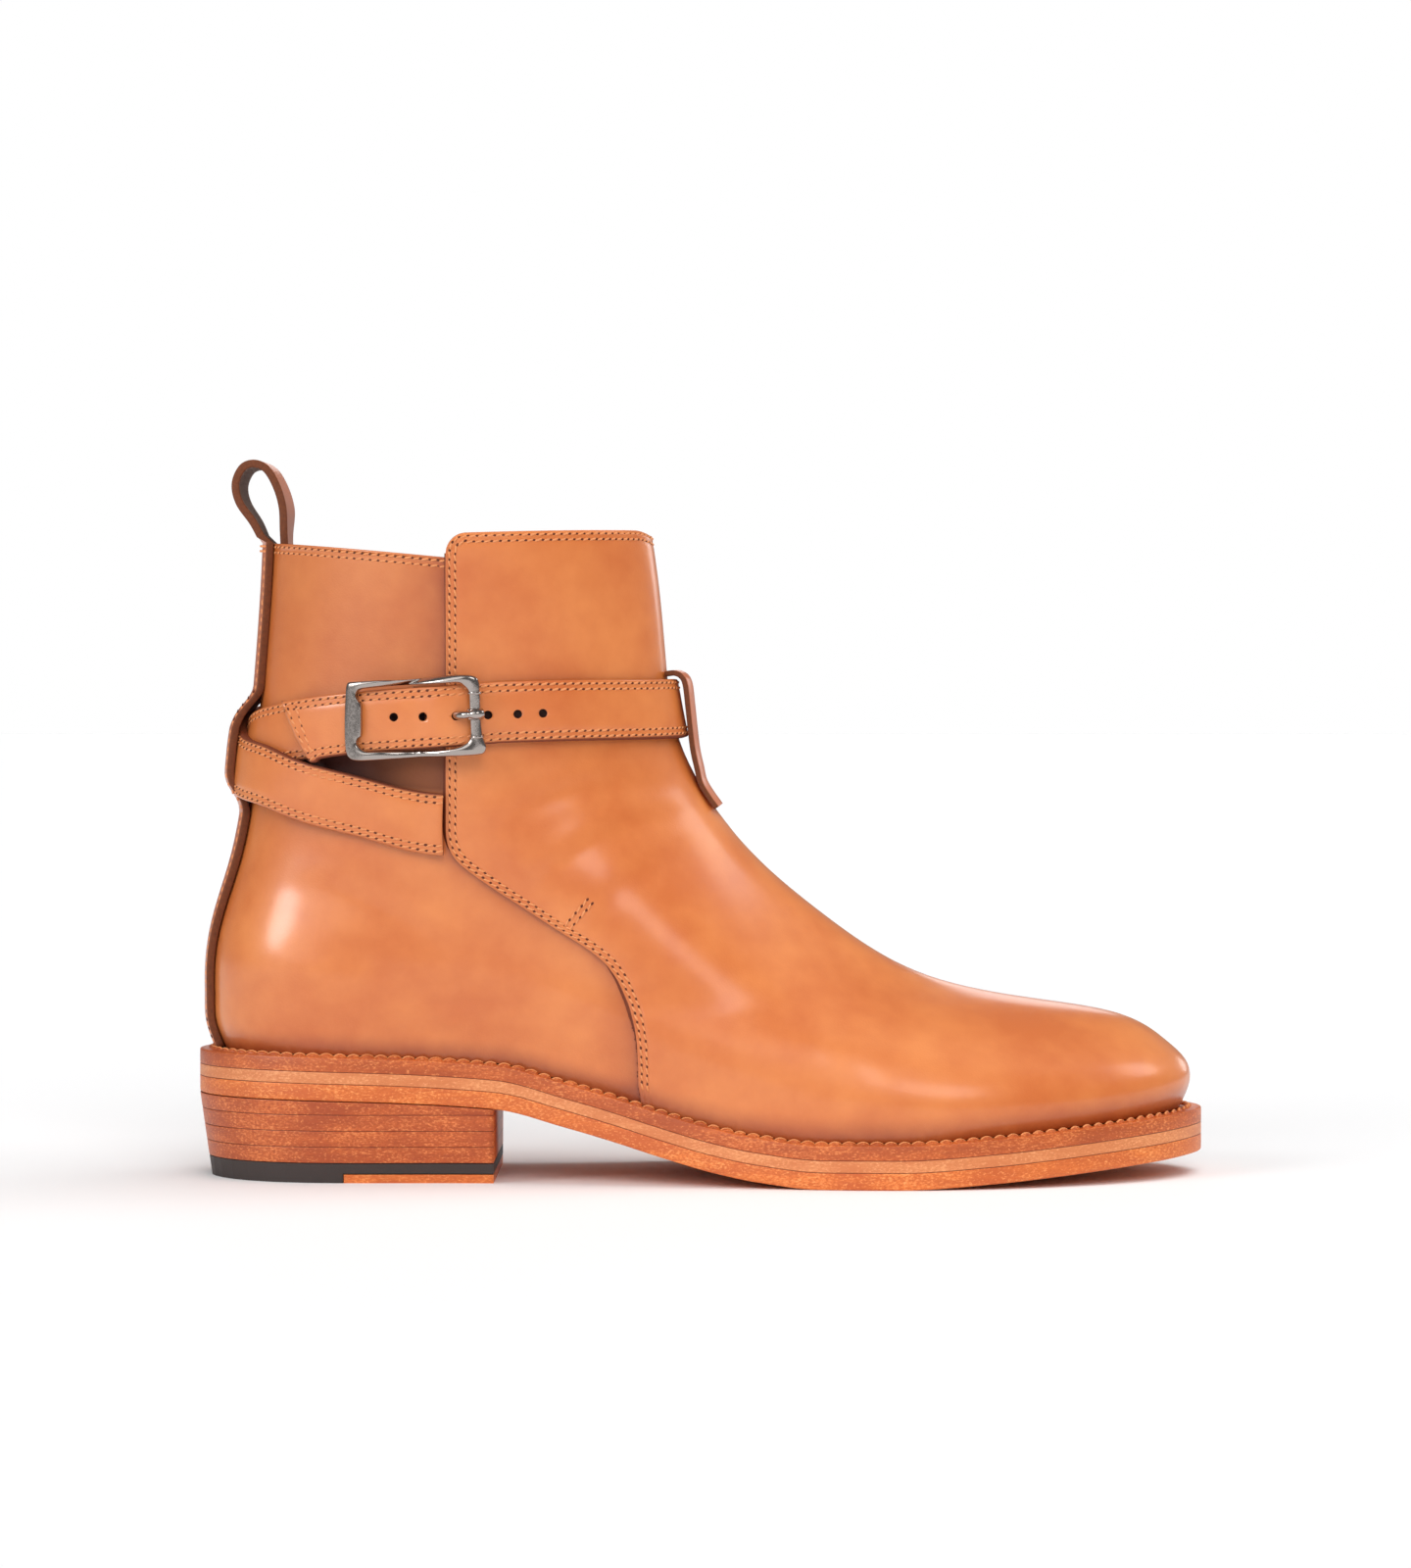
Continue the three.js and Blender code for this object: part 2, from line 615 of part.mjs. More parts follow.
// Point of the outer side at a distance ahead of the buckle's middle, above the strap's middle, and out.
function atBuckle(ahead, above, out) {
  const height = strapMiddle(BUCKLE_SHARE) + BUCKLE_SLOPE * ahead + above;
  return atHeight(buckleAngle - buckleStretch * ahead, height, out);
}

// Round bar through points, each with its own radius across and out.
function bar(points, radius, sides = 8, closed = false) {
  const rings = points.map((point, i) => {
    const before = points[closed ? (i + points.length - 1) % points.length : Math.max(i - 1, 0)];
    const after = points[closed ? (i + 1) % points.length : Math.min(i + 1, points.length - 1)];
    const run = after.clone().sub(before).normalize();
    const across = new THREE.Vector3(0, -1, 0).cross(run).normalize();
    const out = run.clone().cross(across);
    return evenly(sides, 0, 360).slice(0, -1).map((turn) => {
      const around = across.clone().multiplyScalar(Math.cos(radians(turn)));
      return point.clone().addScaledVector(around.addScaledVector(out, Math.sin(radians(turn))), radius(i));
    });
  });
  return ringSolid(rings, closed);
}

// Buckle: a rounded frame whose long sides dip at their middle to a bar under the strap.
const DIP_SHARES = [0.2, 0.4, 0.5, 0.6, 0.8];
const BAR_SHARE = 0.86;
const strapTop = STRAP_CLEARANCE + 2 * STRAP_THICKNESS + SEAM;
const barOut = CENTRE_BAR / 2 + 2 * SEAM;

function frameSolid() {
  const half = (BUCKLE_LENGTH - BUCKLE_BAR) / 2;
  const rail = (BUCKLE_WIDTH - BUCKLE_BAR) / 2;
  const corner = BUCKLE_BAR;
  const centres = [[1, 1], [-1, 1], [-1, -1], [1, -1]];
  const outline = centres.flatMap(([forward, up], i) =>
    evenly(3, 90 * i, 90 * (i + 1)).map((turn) => [
      forward * (half - corner) + corner * Math.cos(radians(turn)),
      up * (rail - corner) + corner * Math.sin(radians(turn)),
    ]),
  );
  const dipped = [];
  for (let i = 0; i < outline.length; i++) {
    const [from, to] = [outline[i], outline[(i + 1) % outline.length]];
    dipped.push(from);
    const long = Math.abs(to[0] - from[0]) > half;
    for (const share of long ? DIP_SHARES : []) {
      dipped.push([lerp(from[0], to[0], share), from[1]]);
    }
  }
  const over = strapTop + SEAM + BUCKLE_BAR / 2;
  const points = dipped.map(([ahead, above]) => {
    const dip = (1 - Math.min(Math.abs(ahead) / (half - corner), 1)) ** 2;
    return atBuckle(ahead, above, over - dip * BUCKLE_DIP);
  });
  const frame = toSolid(bar(points, () => BUCKLE_BAR / 2, 8, true));
  const reach = [-1, 1].map((side) => atBuckle(0, side * rail, over - BUCKLE_DIP));
  const inner = [-BAR_SHARE, BAR_SHARE].map((side) => atBuckle(0, side * rail, barOut));
  const centre = bar([reach[0], inner[0], inner[1], reach[1]], () => CENTRE_BAR / 2);
  return toGeometry(frame.add(toSolid(centre)));
}

// Prong: from beside the centre bar under the strap, up through its hole and over the front bar.
const PRONG_HOLE = 11;

function prongSolid() {
  const r = PRONG_DIAMETER / 2;
  const under = STRAP_CLEARANCE + PANEL_STEP + r;
  const over = strapTop + 2 * SEAM + BUCKLE_BAR + r;
  const rise = 2 * r;
  const route = [
    [CENTRE_BAR / 2 + SEAM, barOut],
    [PRONG_HOLE - rise, under],
    [PRONG_HOLE, under + r],
    [PRONG_HOLE + r, strapTop + r],
    [PRONG_HOLE + 2 * rise, over],
    [BUCKLE_LENGTH / 2 + r, over],
  ];
  const radius = (i) => (i === route.length - 1 ? 1.2 * r : r);
  return bar(route.map(([ahead, out]) => atBuckle(ahead, 0, out)), radius);
}

// Holes along the strap, counted from the prong's hole.
const HOLE_PLACES = [-2, -1.03, 0, 1.16, 2.15, 3.01];

function drilledStrap() {
  let strap = toSolid(strapSolid(LONG_STRAP));
  for (const place of HOLE_PLACES) {
    const ahead = PRONG_HOLE + place * HOLE_SPACING;
    const slack = place === 0 ? PRONG_DIAMETER : 0;
    const ends = [0, 2 * strapTop].map((out) => atBuckle(ahead, 0, out));
    strap = strap.subtract(toSolid(bar(ends, () => HOLE_DIAMETER / 2 + slack / 2)));
  }
  return toGeometry(strap);
}

// Section across a strip that bends round the back or front of the last.
const ACROSS = [-1, -0.5, 0, 0.5, 1];

// Back strip: rows of height above the crossing, as shares of the strap's width, and of its stand-off.
const TUNNEL = [
  [-1.04, 0],
  [-0.93, 0.2],
  [-0.82, 0.6],
  [-0.73, 0.9],
  [-0.64, 1],
  [0.62, 1],
  [0.76, 0.85],
  [0.94, 0.4],
  [1.15, 0],
];
const STRIP_FOOT = 1.2;

function backStrip() {
  const standOff = steadyCurve(TUNNEL);
  const tunnel = 2 * (STRAP_THICKNESS + SEAM) + STRAP_CLEARANCE;
  const foot = weltTop(FEATHER_REAR / SOLE_LENGTH) + STRIP_FOOT;
  const [low, high] = [TUNNEL[0], TUNNEL.at(-1)].map(([rise]) => CROSS_HEIGHT + rise * STRAP_WIDTH);
  const below = evenly(9, foot, low);
  const crossing = evenly(14, low, high).slice(1);
  const above = evenly(4, high, COLLAR_HEIGHT).slice(1);
  const ring = (place) => [
    ...ACROSS.map((share) => place(share, 0)),
    ...[...ACROSS].reverse().map((share) => place(share, STRIP_THICKNESS)),
  ];
  const body = [...below, ...crossing, ...above].map((height) => {
    const out = SEAM + tunnel * standOff((height - CROSS_HEIGHT) / STRAP_WIDTH);
    return ring((share, depth) => {
      const angle = solve((a) => atHeight(a, height, out).y, (share * STRIP_WIDTH) / 2, -60, 60);
      return atHeight(angle, height, out + depth);
    });
  });
  return [...body, ...pullLoop(ring)];
}

// Pull loop: its middle line, as shares of the loop's depth and of its height above the collar.
const LOOP_LINE = [
  [-0.25, 0.235],
  [-0.49, 0.485],
  [-0.55, 0.715],
  [-0.41, 0.923],
  [-0.18, 0.98],
  [0.045, 0.91],
  [0.25, 0.7],
  [0.34, 0.42],
  [0.33, 0.14],
  [0.33, -0.13],
  [0.33, -0.48],
];

function pullLoop(ring) {
  const start = atHeight(0, COLLAR_HEIGHT, SEAM);
  const at = ([depth, rise]) => new THREE.Vector2(start.x + depth * LOOP_DEPTH, start.z + rise * LOOP_HEIGHT);
  const root = new THREE.Vector2(start.x - STRIP_THICKNESS / 2, start.z);
  const line = new THREE.SplineCurve([root, ...LOOP_LINE.map(at)]);
  return evenly(24, 0, 1).slice(2).map((share) => {
    const point = line.getPoint(share);
    const run = line.getTangent(share);
    return ring((across, depth) => {
      const out = depth - STRIP_THICKNESS / 2;
      return new THREE.Vector3(point.x - out * run.y, (across * STRIP_WIDTH) / 2, point.y + out * run.x);
    });
  });
}

// Front keeper: its middle line as heights over the strap's middle, in shares of the strap's width,
// and distances from the front panel, in shares of the keeper's stand-off.
const KEEPER_LINE = [
  [0.6, 0.05],
  [0.6, 0.5],
  [0.53, 0.84],
  [0.38, 1],
  [0, 0.97],
  [-0.4, 0.82],
  [-0.76, 0.58],
  [-1.05, 0.38],
  [-1.25, 0.2],
  [-1.46, 0.19],
  [-1.68, 0.22],
];

function frontKeeper() {
  const outward = (height) => atHeight(180, height, 1).sub(atHeight(180, height, 0));
  const middle = KEEPER_LINE.map(([rise, out]) => {
    const height = STRAP_HEIGHT + rise * STRAP_WIDTH;
    const distance = PANEL_STEP + SEAM + out * KEEPER_STANDOFF;
    return atHeight(180, height, distance + KEEPER_THICKNESS / 4);
  });
  const line = new THREE.CatmullRomCurve3(middle);
  const bend = (KEEPER_WIDTH / 2) ** 2 / KEEPER_BEND_RADIUS;
  const rings = evenly(22, 0, 1).map((share) => {
    const point = line.getPoint(share);
    const run = line.getTangent(share);
    const out = new THREE.Vector3(0, 1, 0).cross(run);
    const rear = outward(point.z).multiplyScalar(-bend);
    const place = (across, depth) =>
      point
        .clone()
        .addScaledVector(out, depth)
        .addScaledVector(rear, across ** 2)
        .setY((across * KEEPER_WIDTH) / 2);
    return [
      ...ACROSS.map((across) => place(across, KEEPER_THICKNESS / 2)),
      ...[...ACROSS].reverse().map((across) => place(across, -KEEPER_THICKNESS / 2)),
    ];
  });
  return ringSolid(rings);
}

const colours = {
  soleLeather: { color: 0xc4662f, roughness: 0.5 },
  midsoleLeather: { color: 0xdf9a68, roughness: 0.55 },
  upperLeather: { color: 0xd9813f, roughness: 0.38 },
  insoleLeather: { color: 0xcfa37a, roughness: 0.7 },
  stripLeather: { color: 0xcb7440, roughness: 0.45 },
  rubber: { color: 0x3a3230, roughness: 0.75 },
  steel: { color: 0x9a9a98, roughness: 0.3, metalness: 1 },
};
const materials = Object.fromEntries(
  Object.entries(colours).map(([name, look]) => [name, new THREE.MeshStandardMaterial(look)]),
);

const boot = new THREE.Group();
boot.position.x = -(HEEL_TAPER + HEEL_LENGTH) / 2;

function addPart(name, geometry, material) {
  const mesh = new THREE.Mesh(geometry, material);
  mesh.name = name;
  boot.add(mesh);
}

const [topliftRubber, topliftLeather] = topliftPieces();
addPart("toplift_rubber", topliftRubber, materials.rubber);
addPart("toplift_leather", topliftLeather, materials.soleLeather);
for (let i = 0; i < LIFT_COUNT; i++) {
  const slice = heelSlice(flat(liftTop(i) + SEAM), flat(liftTop(i + 1)));
  addPart(`heel_lift_${LIFT_COUNT + 1 - i}`, slice, materials.soleLeather);
}
const wedge = heelSlice(flat(liftTop(LIFT_COUNT) + SEAM), raised(rocker, -SEAM));
addPart("heel_lift_1", wedge, materials.soleLeather);
addPart("outsole", soleLayer(rocker, raised(rocker, OUTSOLE_THICKNESS)), materials.soleLeather);
const midsole = soleLayer(midsoleBottom, raised(midsoleBottom, MIDSOLE_THICKNESS));
addPart("midsole", midsole, materials.midsoleLeather);
addPart("welt", weltRing(), materials.soleLeather);
addPart("insole", insolePlate(), materials.insoleLeather);
addPart("upper", upperWall(), materials.upperLeather);
addPart("ankle_strap", drilledStrap(), materials.upperLeather);
addPart("buckle_strap", strapSolid(BUCKLE_STRAP), materials.upperLeather);
addPart("buckle_frame", frameSolid(), materials.steel);
addPart("buckle_prong", prongSolid(), materials.steel);
addPart("back_strip", ringSolid(backStrip()), materials.stripLeather);
addPart("front_keeper", frontKeeper(), materials.stripLeather);

const root = new THREE.Group();
root.add(boot);
export default root;
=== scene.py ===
import math

import bpy
import numpy as np
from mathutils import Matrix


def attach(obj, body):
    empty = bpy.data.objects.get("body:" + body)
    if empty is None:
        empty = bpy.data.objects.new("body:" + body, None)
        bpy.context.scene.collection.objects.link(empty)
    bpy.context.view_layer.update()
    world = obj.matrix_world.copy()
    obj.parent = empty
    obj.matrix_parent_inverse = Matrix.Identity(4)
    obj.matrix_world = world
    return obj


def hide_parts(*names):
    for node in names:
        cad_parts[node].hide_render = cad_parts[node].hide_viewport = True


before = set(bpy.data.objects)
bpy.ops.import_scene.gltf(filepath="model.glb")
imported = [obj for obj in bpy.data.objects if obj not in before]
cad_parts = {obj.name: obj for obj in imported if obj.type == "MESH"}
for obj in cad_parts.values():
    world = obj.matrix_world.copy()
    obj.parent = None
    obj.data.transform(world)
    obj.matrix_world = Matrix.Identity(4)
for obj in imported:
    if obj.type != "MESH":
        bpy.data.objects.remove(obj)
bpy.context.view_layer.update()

# Camera, floor and light: the view square to the outer side, a little below the collar, on a pale floor
# that runs out of sight. Wide soft lights give the colours, and smaller ones only their gleams on the leather.
CAMERA_PLACE = (0.1076, -1.4, 0.141)
CAMERA_DROP = 0.886
CAMERA_LENS = 104.7
FLOOR_HALF = 30
LIGHTS = [
    # name, comes from, strength, width in degrees, whether it shows as a gleam or lights the colours
    ("left_light", (-0.72, -0.5, 0.5), 0.72, 26, False),
    ("top_light", (0.3, 0, 0.9), 1.5, 50, False),
    ("rear_light", (0.85, 0.45, 0.45), 0.25, 24, False),
    ("front_light", (0.12, -0.8, 0.55), 1.3, 40, False),
    ("left_gleam", (-0.7, -0.55, 0.42), 1.4, 22, True),
    ("wide_gleam", (-0.45, -0.7, 0.45), 0.6, 44, True),
    ("top_gleam", (0.24, -0.83, 0.5), 0.35, 20, True),
    ("rear_gleam", (0.8, 0.1, 0.6), 0.35, 18, True),
    ("back_gleam", (0, 0.92, 0.36), 0.25, 24, True),
    ("edge_gleam", (0.6, 0.78, 0.2), 0.17, 16, True),
]
WORLD_DIFFUSE, WORLD_GLOSSY, WORLD_SEEN = 0.22, 0.19, 1.0

camera = bpy.data.objects.new("camera", bpy.data.cameras.new("camera"))
camera.data.sensor_fit = "VERTICAL"
camera.data.sensor_height = 36
camera.data.lens = CAMERA_LENS
camera.data.clip_end = 2 * FLOOR_HALF
camera.location = CAMERA_PLACE
camera.rotation_euler = (math.radians(90 - CAMERA_DROP), 0, 0)
bpy.context.scene.collection.objects.link(camera)
bpy.context.scene.camera = camera
bpy.context.scene.view_settings.view_transform = "Standard"

for name, source, strength, width, gleam in LIGHTS:
    light = bpy.data.objects.new(name, bpy.data.lights.new(name, "SUN"))
    light.data.energy = strength
    light.data.angle = math.radians(width)
    x, y, z = source
    light.rotation_euler = (math.atan2(math.hypot(x, y), z), 0, math.atan2(x, -y))
    light.visible_diffuse, light.visible_glossy = not gleam, gleam
    bpy.context.scene.collection.objects.link(light)


class Wire:
    """An output of a node, with the sums made on it."""

    def __init__(self, nodes, socket):
        self.nodes = nodes
        self.socket = socket

    def math(self, operation, *others):
        values = dict(enumerate((self, *others)))
        return self.nodes.add("ShaderNodeMath", values, operation=operation)

    def __add__(self, other):
        return self.math("ADD", other)

    def __mul__(self, other):
        return self.math("MULTIPLY", other)

    def __sub__(self, other):
        return self.math("SUBTRACT", other)

    def __rsub__(self, other):
        return self * -1 + other

    __radd__ = __add__
    __rmul__ = __mul__


class Nodes:
    """A node tree: one call adds a node with its settings, and with the values or links of its sockets."""

    def __init__(self, tree):
        self.tree = tree

    def add(self, kind, sockets=(), output=0, stops=(), **settings):
        node = self.tree.nodes.new(kind)
        for setting, value in settings.items():
            setattr(node, setting, value)
        for i, (place, value) in enumerate(stops):
            points = node.color_ramp.elements
            point = points[i] if i < 2 else points.new(place)
            point.position = place
            point.color = (value, value, value, 1)
        for socket, value in dict(sockets).items():
            self.feed(node.inputs[socket], value)
        return Wire(self, node.outputs[output])

    def feed(self, socket, value):
        if isinstance(value, Wire):
            self.tree.links.new(value.socket, socket)
        else:
            socket.default_value = value

    def blend(self, share, first, second):
        sockets = {0: share, 6: first, 7: second}
        return self.add("ShaderNodeMix", sockets, output=2, data_type="RGBA")


class Finish(Nodes):
    """A material: its Principled shader takes plain values by name, and its patterns read object space."""

    def __init__(self, name, **values):
        self.material = bpy.data.materials.new(name)
        self.material.use_nodes = True
        super().__init__(self.material.node_tree)
        self.shader = self.tree.nodes["Principled BSDF"]
        for socket, value in values.items():
            self.feed(self.shader.inputs[socket.replace("_", " ")], value)
        self.place = self.add("ShaderNodeTexCoord", output="Object")

    def noise(self, size, detail=2, place=None, rough=0.5):
        """Soft noise from 0 to 1 whose patches are about size millimetres wide."""
        sockets = {"Vector": place or self.place, "Scale": 1000 / size, "Detail": detail, "Roughness": rough}
        return self.add("ShaderNodeTexNoise", sockets)

    def stretched(self, x, y, z):
        return self.add("ShaderNodeMapping", {"Vector": self.place, "Scale": (x, y, z)})

    def ramp(self, value, *stops):
        return self.add("ShaderNodeValToRGB", {"Fac": value}, stops=stops)

    def mask(self, name):
        return self.add("ShaderNodeAttribute", output="Fac", attribute_name=name)

    def give(self, socket, value):
        self.feed(self.shader.inputs[socket], value)

    def relief(self, height, depth, over=None):
        """Bump of a height from 0 to 1, depth millimetres deep, over another bump."""
        sockets = {"Height": height, "Distance": depth / 1000, "Strength": 1.0}
        if over:
            sockets["Normal"] = over
        return self.add("ShaderNodeBump", sockets)


def tint(red, green, blue):
    """Linear colour of an sRGB colour in bytes."""
    linear = [((c / 255 + 0.055) / 1.055) ** 2.4 for c in (red, green, blue)]
    return (*linear, 1)


ORIGIN = -47.6


def make_piece(name, points, faces, material, masks=(), second=None, second_faces=None):
    """Smooth mesh from points in millimetres from the welt's rear, with numbers from 0 to 1 kept on its points."""
    mesh = bpy.data.meshes.new(name)
    placed = (np.asarray(points).reshape(-1, 3) + (ORIGIN, 0, 0)) / 1000
    mesh.from_pydata(placed.tolist(), [], faces.tolist() if hasattr(faces, "tolist") else faces)
    for mask, values in dict(masks).items():
        layer = mesh.attributes.new(mask, "FLOAT", "POINT")
        layer.data.foreach_set("value", np.clip(np.asarray(values, float).ravel(), 0, 1))
    mesh.shade_smooth()
    mesh.materials.append(material)
    if second:
        mesh.materials.append(second)
        mesh.polygons.foreach_set("material_index", np.asarray(second_faces, int))
    piece = bpy.data.objects.new(name, mesh)
    bpy.context.scene.collection.objects.link(piece)
    return piece


def grid_faces(rows, columns, round_rows=False, round_columns=False):
    """Quads of a grid of points, joined round in either direction."""
    order = np.arange(rows * columns).reshape(rows, columns)
    if round_rows:
        order = np.vstack([order, order[:1]])
    if round_columns:
        order = np.hstack([order, order[:, :1]])
    corners = [order[:-1, :-1], order[:-1, 1:], order[1:, 1:], order[1:, :-1]]
    return np.stack([c.ravel() for c in corners], 1)


world = bpy.data.worlds.new("studio")
world.use_nodes = True
sky = Nodes(world.node_tree)
scattered = sky.add("ShaderNodeLightPath", output="Is Diffuse Ray")
mirrored = sky.add("ShaderNodeLightPath", output="Is Glossy Ray")
background = world.node_tree.nodes["Background"]
background.inputs["Color"].default_value = (1, 1, 1, 1)
dimmed = scattered * (WORLD_DIFFUSE - WORLD_SEEN) + mirrored * (WORLD_GLOSSY - WORLD_SEEN)
sky.feed(background.inputs["Strength"], dimmed + WORLD_SEEN)
bpy.context.scene.world = world

floor_paint = Finish("pale_floor", Base_Color=(0.98, 0.98, 0.985, 1), Roughness=0.9)
floor_corners = [(x, y, 0) for x, y in ((-1, -1), (1, -1), (1, 1), (-1, 1))]
floor = make_piece("floor", np.multiply(floor_corners, 1000 * FLOOR_HALF), [(0, 1, 2, 3)], floor_paint.material)

# Upper: tan calf in two pieces over the last. The front piece laps over the quarters with a cut edge and two
# rows of stitches; a paler lining shows round the inside of the collar.
FEATHER_LENGTH, BALL_WIDTH, TOE_SWING = 292.2, 94, 5
BACK_HEIGHT, FRONT_HEIGHT = 154, 176.6
WELT_MARGIN, OUTSOLE_THICKNESS, MIDSOLE_THICKNESS, WELT_THICKNESS = 8.3, 5, 3.3, 4.4
TOE_SPRING, SEAM, HEEL_HEIGHT = 7, 0.3, 25.4
WALL, PANEL_STEP, PANEL_REAR, COLLAR_DROP = 1.7, 1.3, 77.7, 5.4
PANEL_CORNER, FRONT_FALL, FALL_LENGTH, LINING_AT_RIM = 6, 1.3, 4, 0.8


def bends_of(count):
    """Matrix from values at even knots to the bends of their natural cubic spline."""
    system, second = np.eye(count), np.zeros((count, count))
    for i in range(1, count - 1):
        system[i, i - 1 : i + 2] = (1, 4, 1)
        second[i, i - 1 : i + 2] = (6, -12, 6)
    return np.linalg.solve(system, second)


def spline_parts(share, count):
    i = np.clip((share * (count - 1)).astype(int), 0, count - 2)
    f = share * (count - 1) - i
    g = 1 - f
    return i, f, g, (g**3 - g) / 6, (f**3 - f) / 6


def down_table(table, share):
    """Value of every column of a table at shares of its height."""
    table = np.asarray(table, float)
    bends = bends_of(len(table)) @ table
    i, f, g, before, after = spline_parts(np.asarray(share, float), len(table))
    parts = ((table[i], g), (table[i + 1], f), (bends[i], before), (bends[i + 1], after))
    return sum(values * weight[..., None] for values, weight in parts)


def along_row(rows, share):
    """Value along each row of knots at each row's own share."""
    bends = rows @ bends_of(rows.shape[-1]).T
    i, f, g, before, after = spline_parts(share, rows.shape[-1])

    def pick(values, j):
        return np.take_along_axis(values, j[..., None], -1)[..., 0]

    return pick(rows, i) * g + pick(rows, i + 1) * f + pick(bends, i) * before + pick(bends, i + 1) * after


def steady(rows):
    """Curve through rows of position and value that never swings past them."""
    at, value = np.array(rows, float).T
    slope = np.diff(value) / np.diff(at)
    tangent = np.zeros(len(at))
    product = slope[:-1] * slope[1:]
    total = np.where(product > 0, slope[:-1] + slope[1:], 1)
    tangent[1:-1] = np.where(product > 0, 2 * product / total, 0)

    def curve(x):
        i = np.clip(np.searchsorted(at, x) - 1, 0, len(at) - 2)
        width = at[i + 1] - at[i]
        f = np.clip((x - at[i]) / width, 0, 1)
        rise = value[i + 1] - value[i]
        start, end = tangent[i] * width, tangent[i + 1] * width
        return value[i] + f * start + f**2 * (3 * rise - 2 * start - end) + f**3 * (start + end - 2 * rise)

    return curve


def smooth_step(x, low, high):
    f = np.clip((x - low) / (high - low), 0, 1)
    return f * f * (3 - 2 * f)


def margin(angle):
    shares = np.array([[0.9], [0.76], [0.58], [0.67], [0.8], [0.87], [1]])
    return WELT_MARGIN * down_table(shares, np.abs(angle) / 180)[..., 0]


FEATHER_REAR = float(margin(np.array(0.0)))
SOLE_LENGTH = FEATHER_REAR + FEATHER_LENGTH + float(margin(np.array(180.0)))
HEEL_ROCKER = steady([
    (0, 1), (0.15, 0.975), (0.298, 0.886), (0.367, 0.68), (0.414, 0.52),
    (0.461, 0.345), (0.507, 0.19), (0.552, 0.08), (0.617, 0),
])
TOE_ROCKER = steady([(0.69, 0), (0.782, 0.22), (0.838, 0.42), (0.893, 0.63), (0.948, 0.84), (1, 1)])


def rocker(x):
    return HEEL_HEIGHT * HEEL_ROCKER(x / SOLE_LENGTH) + TOE_SPRING * TOE_ROCKER(x / SOLE_LENGTH)


def midsole_bottom(x):
    return rocker(x) + OUTSOLE_THICKNESS + SEAM


def welt_bottom(x):
    return midsole_bottom(x) + MIDSOLE_THICKNESS + SEAM


def welt_top(x):
    return welt_bottom(x) + WELT_THICKNESS


# Level by level from feather line to collar: back X, back rise, front X, front rise, sag, swing.
PROFILE = [
    [0, 0, 1, 0, 1, 1],
    [-0.009, 0.046, 1.0116, 0.043, 1, 1],
    [-0.0113, 0.079, 1.0079, 0.078, 0.98, 1],
    [-0.0113, 0.108, 0.9863, 0.112, 0.92, 0.98],
    [-0.0113, 0.14, 0.9353, 0.156, 0.8, 0.9],
    [-0.0096, 0.192, 0.8292, 0.186, 0.6, 0.75],
    [-0.002, 0.264, 0.7194, 0.234, 0.35, 0.5],
    [0.012, 0.351, 0.6095, 0.351, 0.12, 0.25],
    [0.0236, 0.445, 0.5257, 0.485, 0, 0.1],
    [0.0329, 0.575, 0.4754, 0.631, 0, 0],
    [0.0411, 0.738, 0.46, 0.768, 0, 0],
    [0.0472, 0.894, 0.4525, 0.898, 0, 0],
    [0.05, 1, 0.4446, 1, 0, 0],
]
# Half widths every 30 degrees from back to front, as shares of BALL_WIDTH.
OUTER_FULLNESS = [
    [0.66, 0.574, 0.394, 0.457, 0.622, 0.66, 0.723],
    [0.68, 0.59, 0.404, 0.468, 0.638, 0.67, 0.718],
    [0.68, 0.6, 0.418, 0.473, 0.633, 0.638, 0.656],
    [0.68, 0.606, 0.423, 0.473, 0.606, 0.59, 0.572],
    [0.675, 0.606, 0.43, 0.457, 0.547, 0.457, 0.479],
    [0.638, 0.585, 0.43, 0.431, 0.489, 0.411, 0.383],
    [0.571, 0.527, 0.418, 0.41, 0.468, 0.378, 0.357],
    [0.489, 0.468, 0.404, 0.399, 0.441, 0.356, 0.365],
    [0.421, 0.426, 0.399, 0.399, 0.41, 0.362, 0.356],
    [0.385, 0.399, 0.399, 0.399, 0.399, 0.362, 0.36],
    [0.374, 0.388, 0.399, 0.404, 0.399, 0.372, 0.365],
    [0.368, 0.383, 0.402, 0.41, 0.404, 0.378, 0.367],
    [0.364, 0.383, 0.404, 0.415, 0.407, 0.381, 0.368],
]
INNER_FULLNESS = [
    [0.66, 0.574, 0.356, 0.335, 0.537, 0.638, 0.723],
    [0.68, 0.59, 0.374, 0.346, 0.566, 0.649, 0.718],
    [0.68, 0.6, 0.387, 0.356, 0.564, 0.622, 0.656],
    [0.68, 0.606, 0.394, 0.362, 0.553, 0.574, 0.572],
    [0.675, 0.606, 0.399, 0.367, 0.498, 0.447, 0.479],
    [0.638, 0.585, 0.399, 0.367, 0.441, 0.404, 0.383],
    [0.571, 0.527, 0.397, 0.362, 0.418, 0.372, 0.357],
    [0.489, 0.468, 0.383, 0.367, 0.399, 0.351, 0.365],
    [0.421, 0.426, 0.383, 0.378, 0.383, 0.351, 0.356],
    [0.385, 0.399, 0.386, 0.383, 0.383, 0.356, 0.36],
    [0.374, 0.388, 0.394, 0.394, 0.391, 0.367, 0.365],
    [0.368, 0.383, 0.402, 0.41, 0.404, 0.378, 0.367],
    [0.364, 0.383, 0.404, 0.415, 0.407, 0.381, 0.368],
]
REAR_FOOT = float(welt_top(np.array(FEATHER_REAR))) + SEAM
TOE_FOOT = float(welt_top(np.array(FEATHER_REAR + FEATHER_LENGTH))) + SEAM


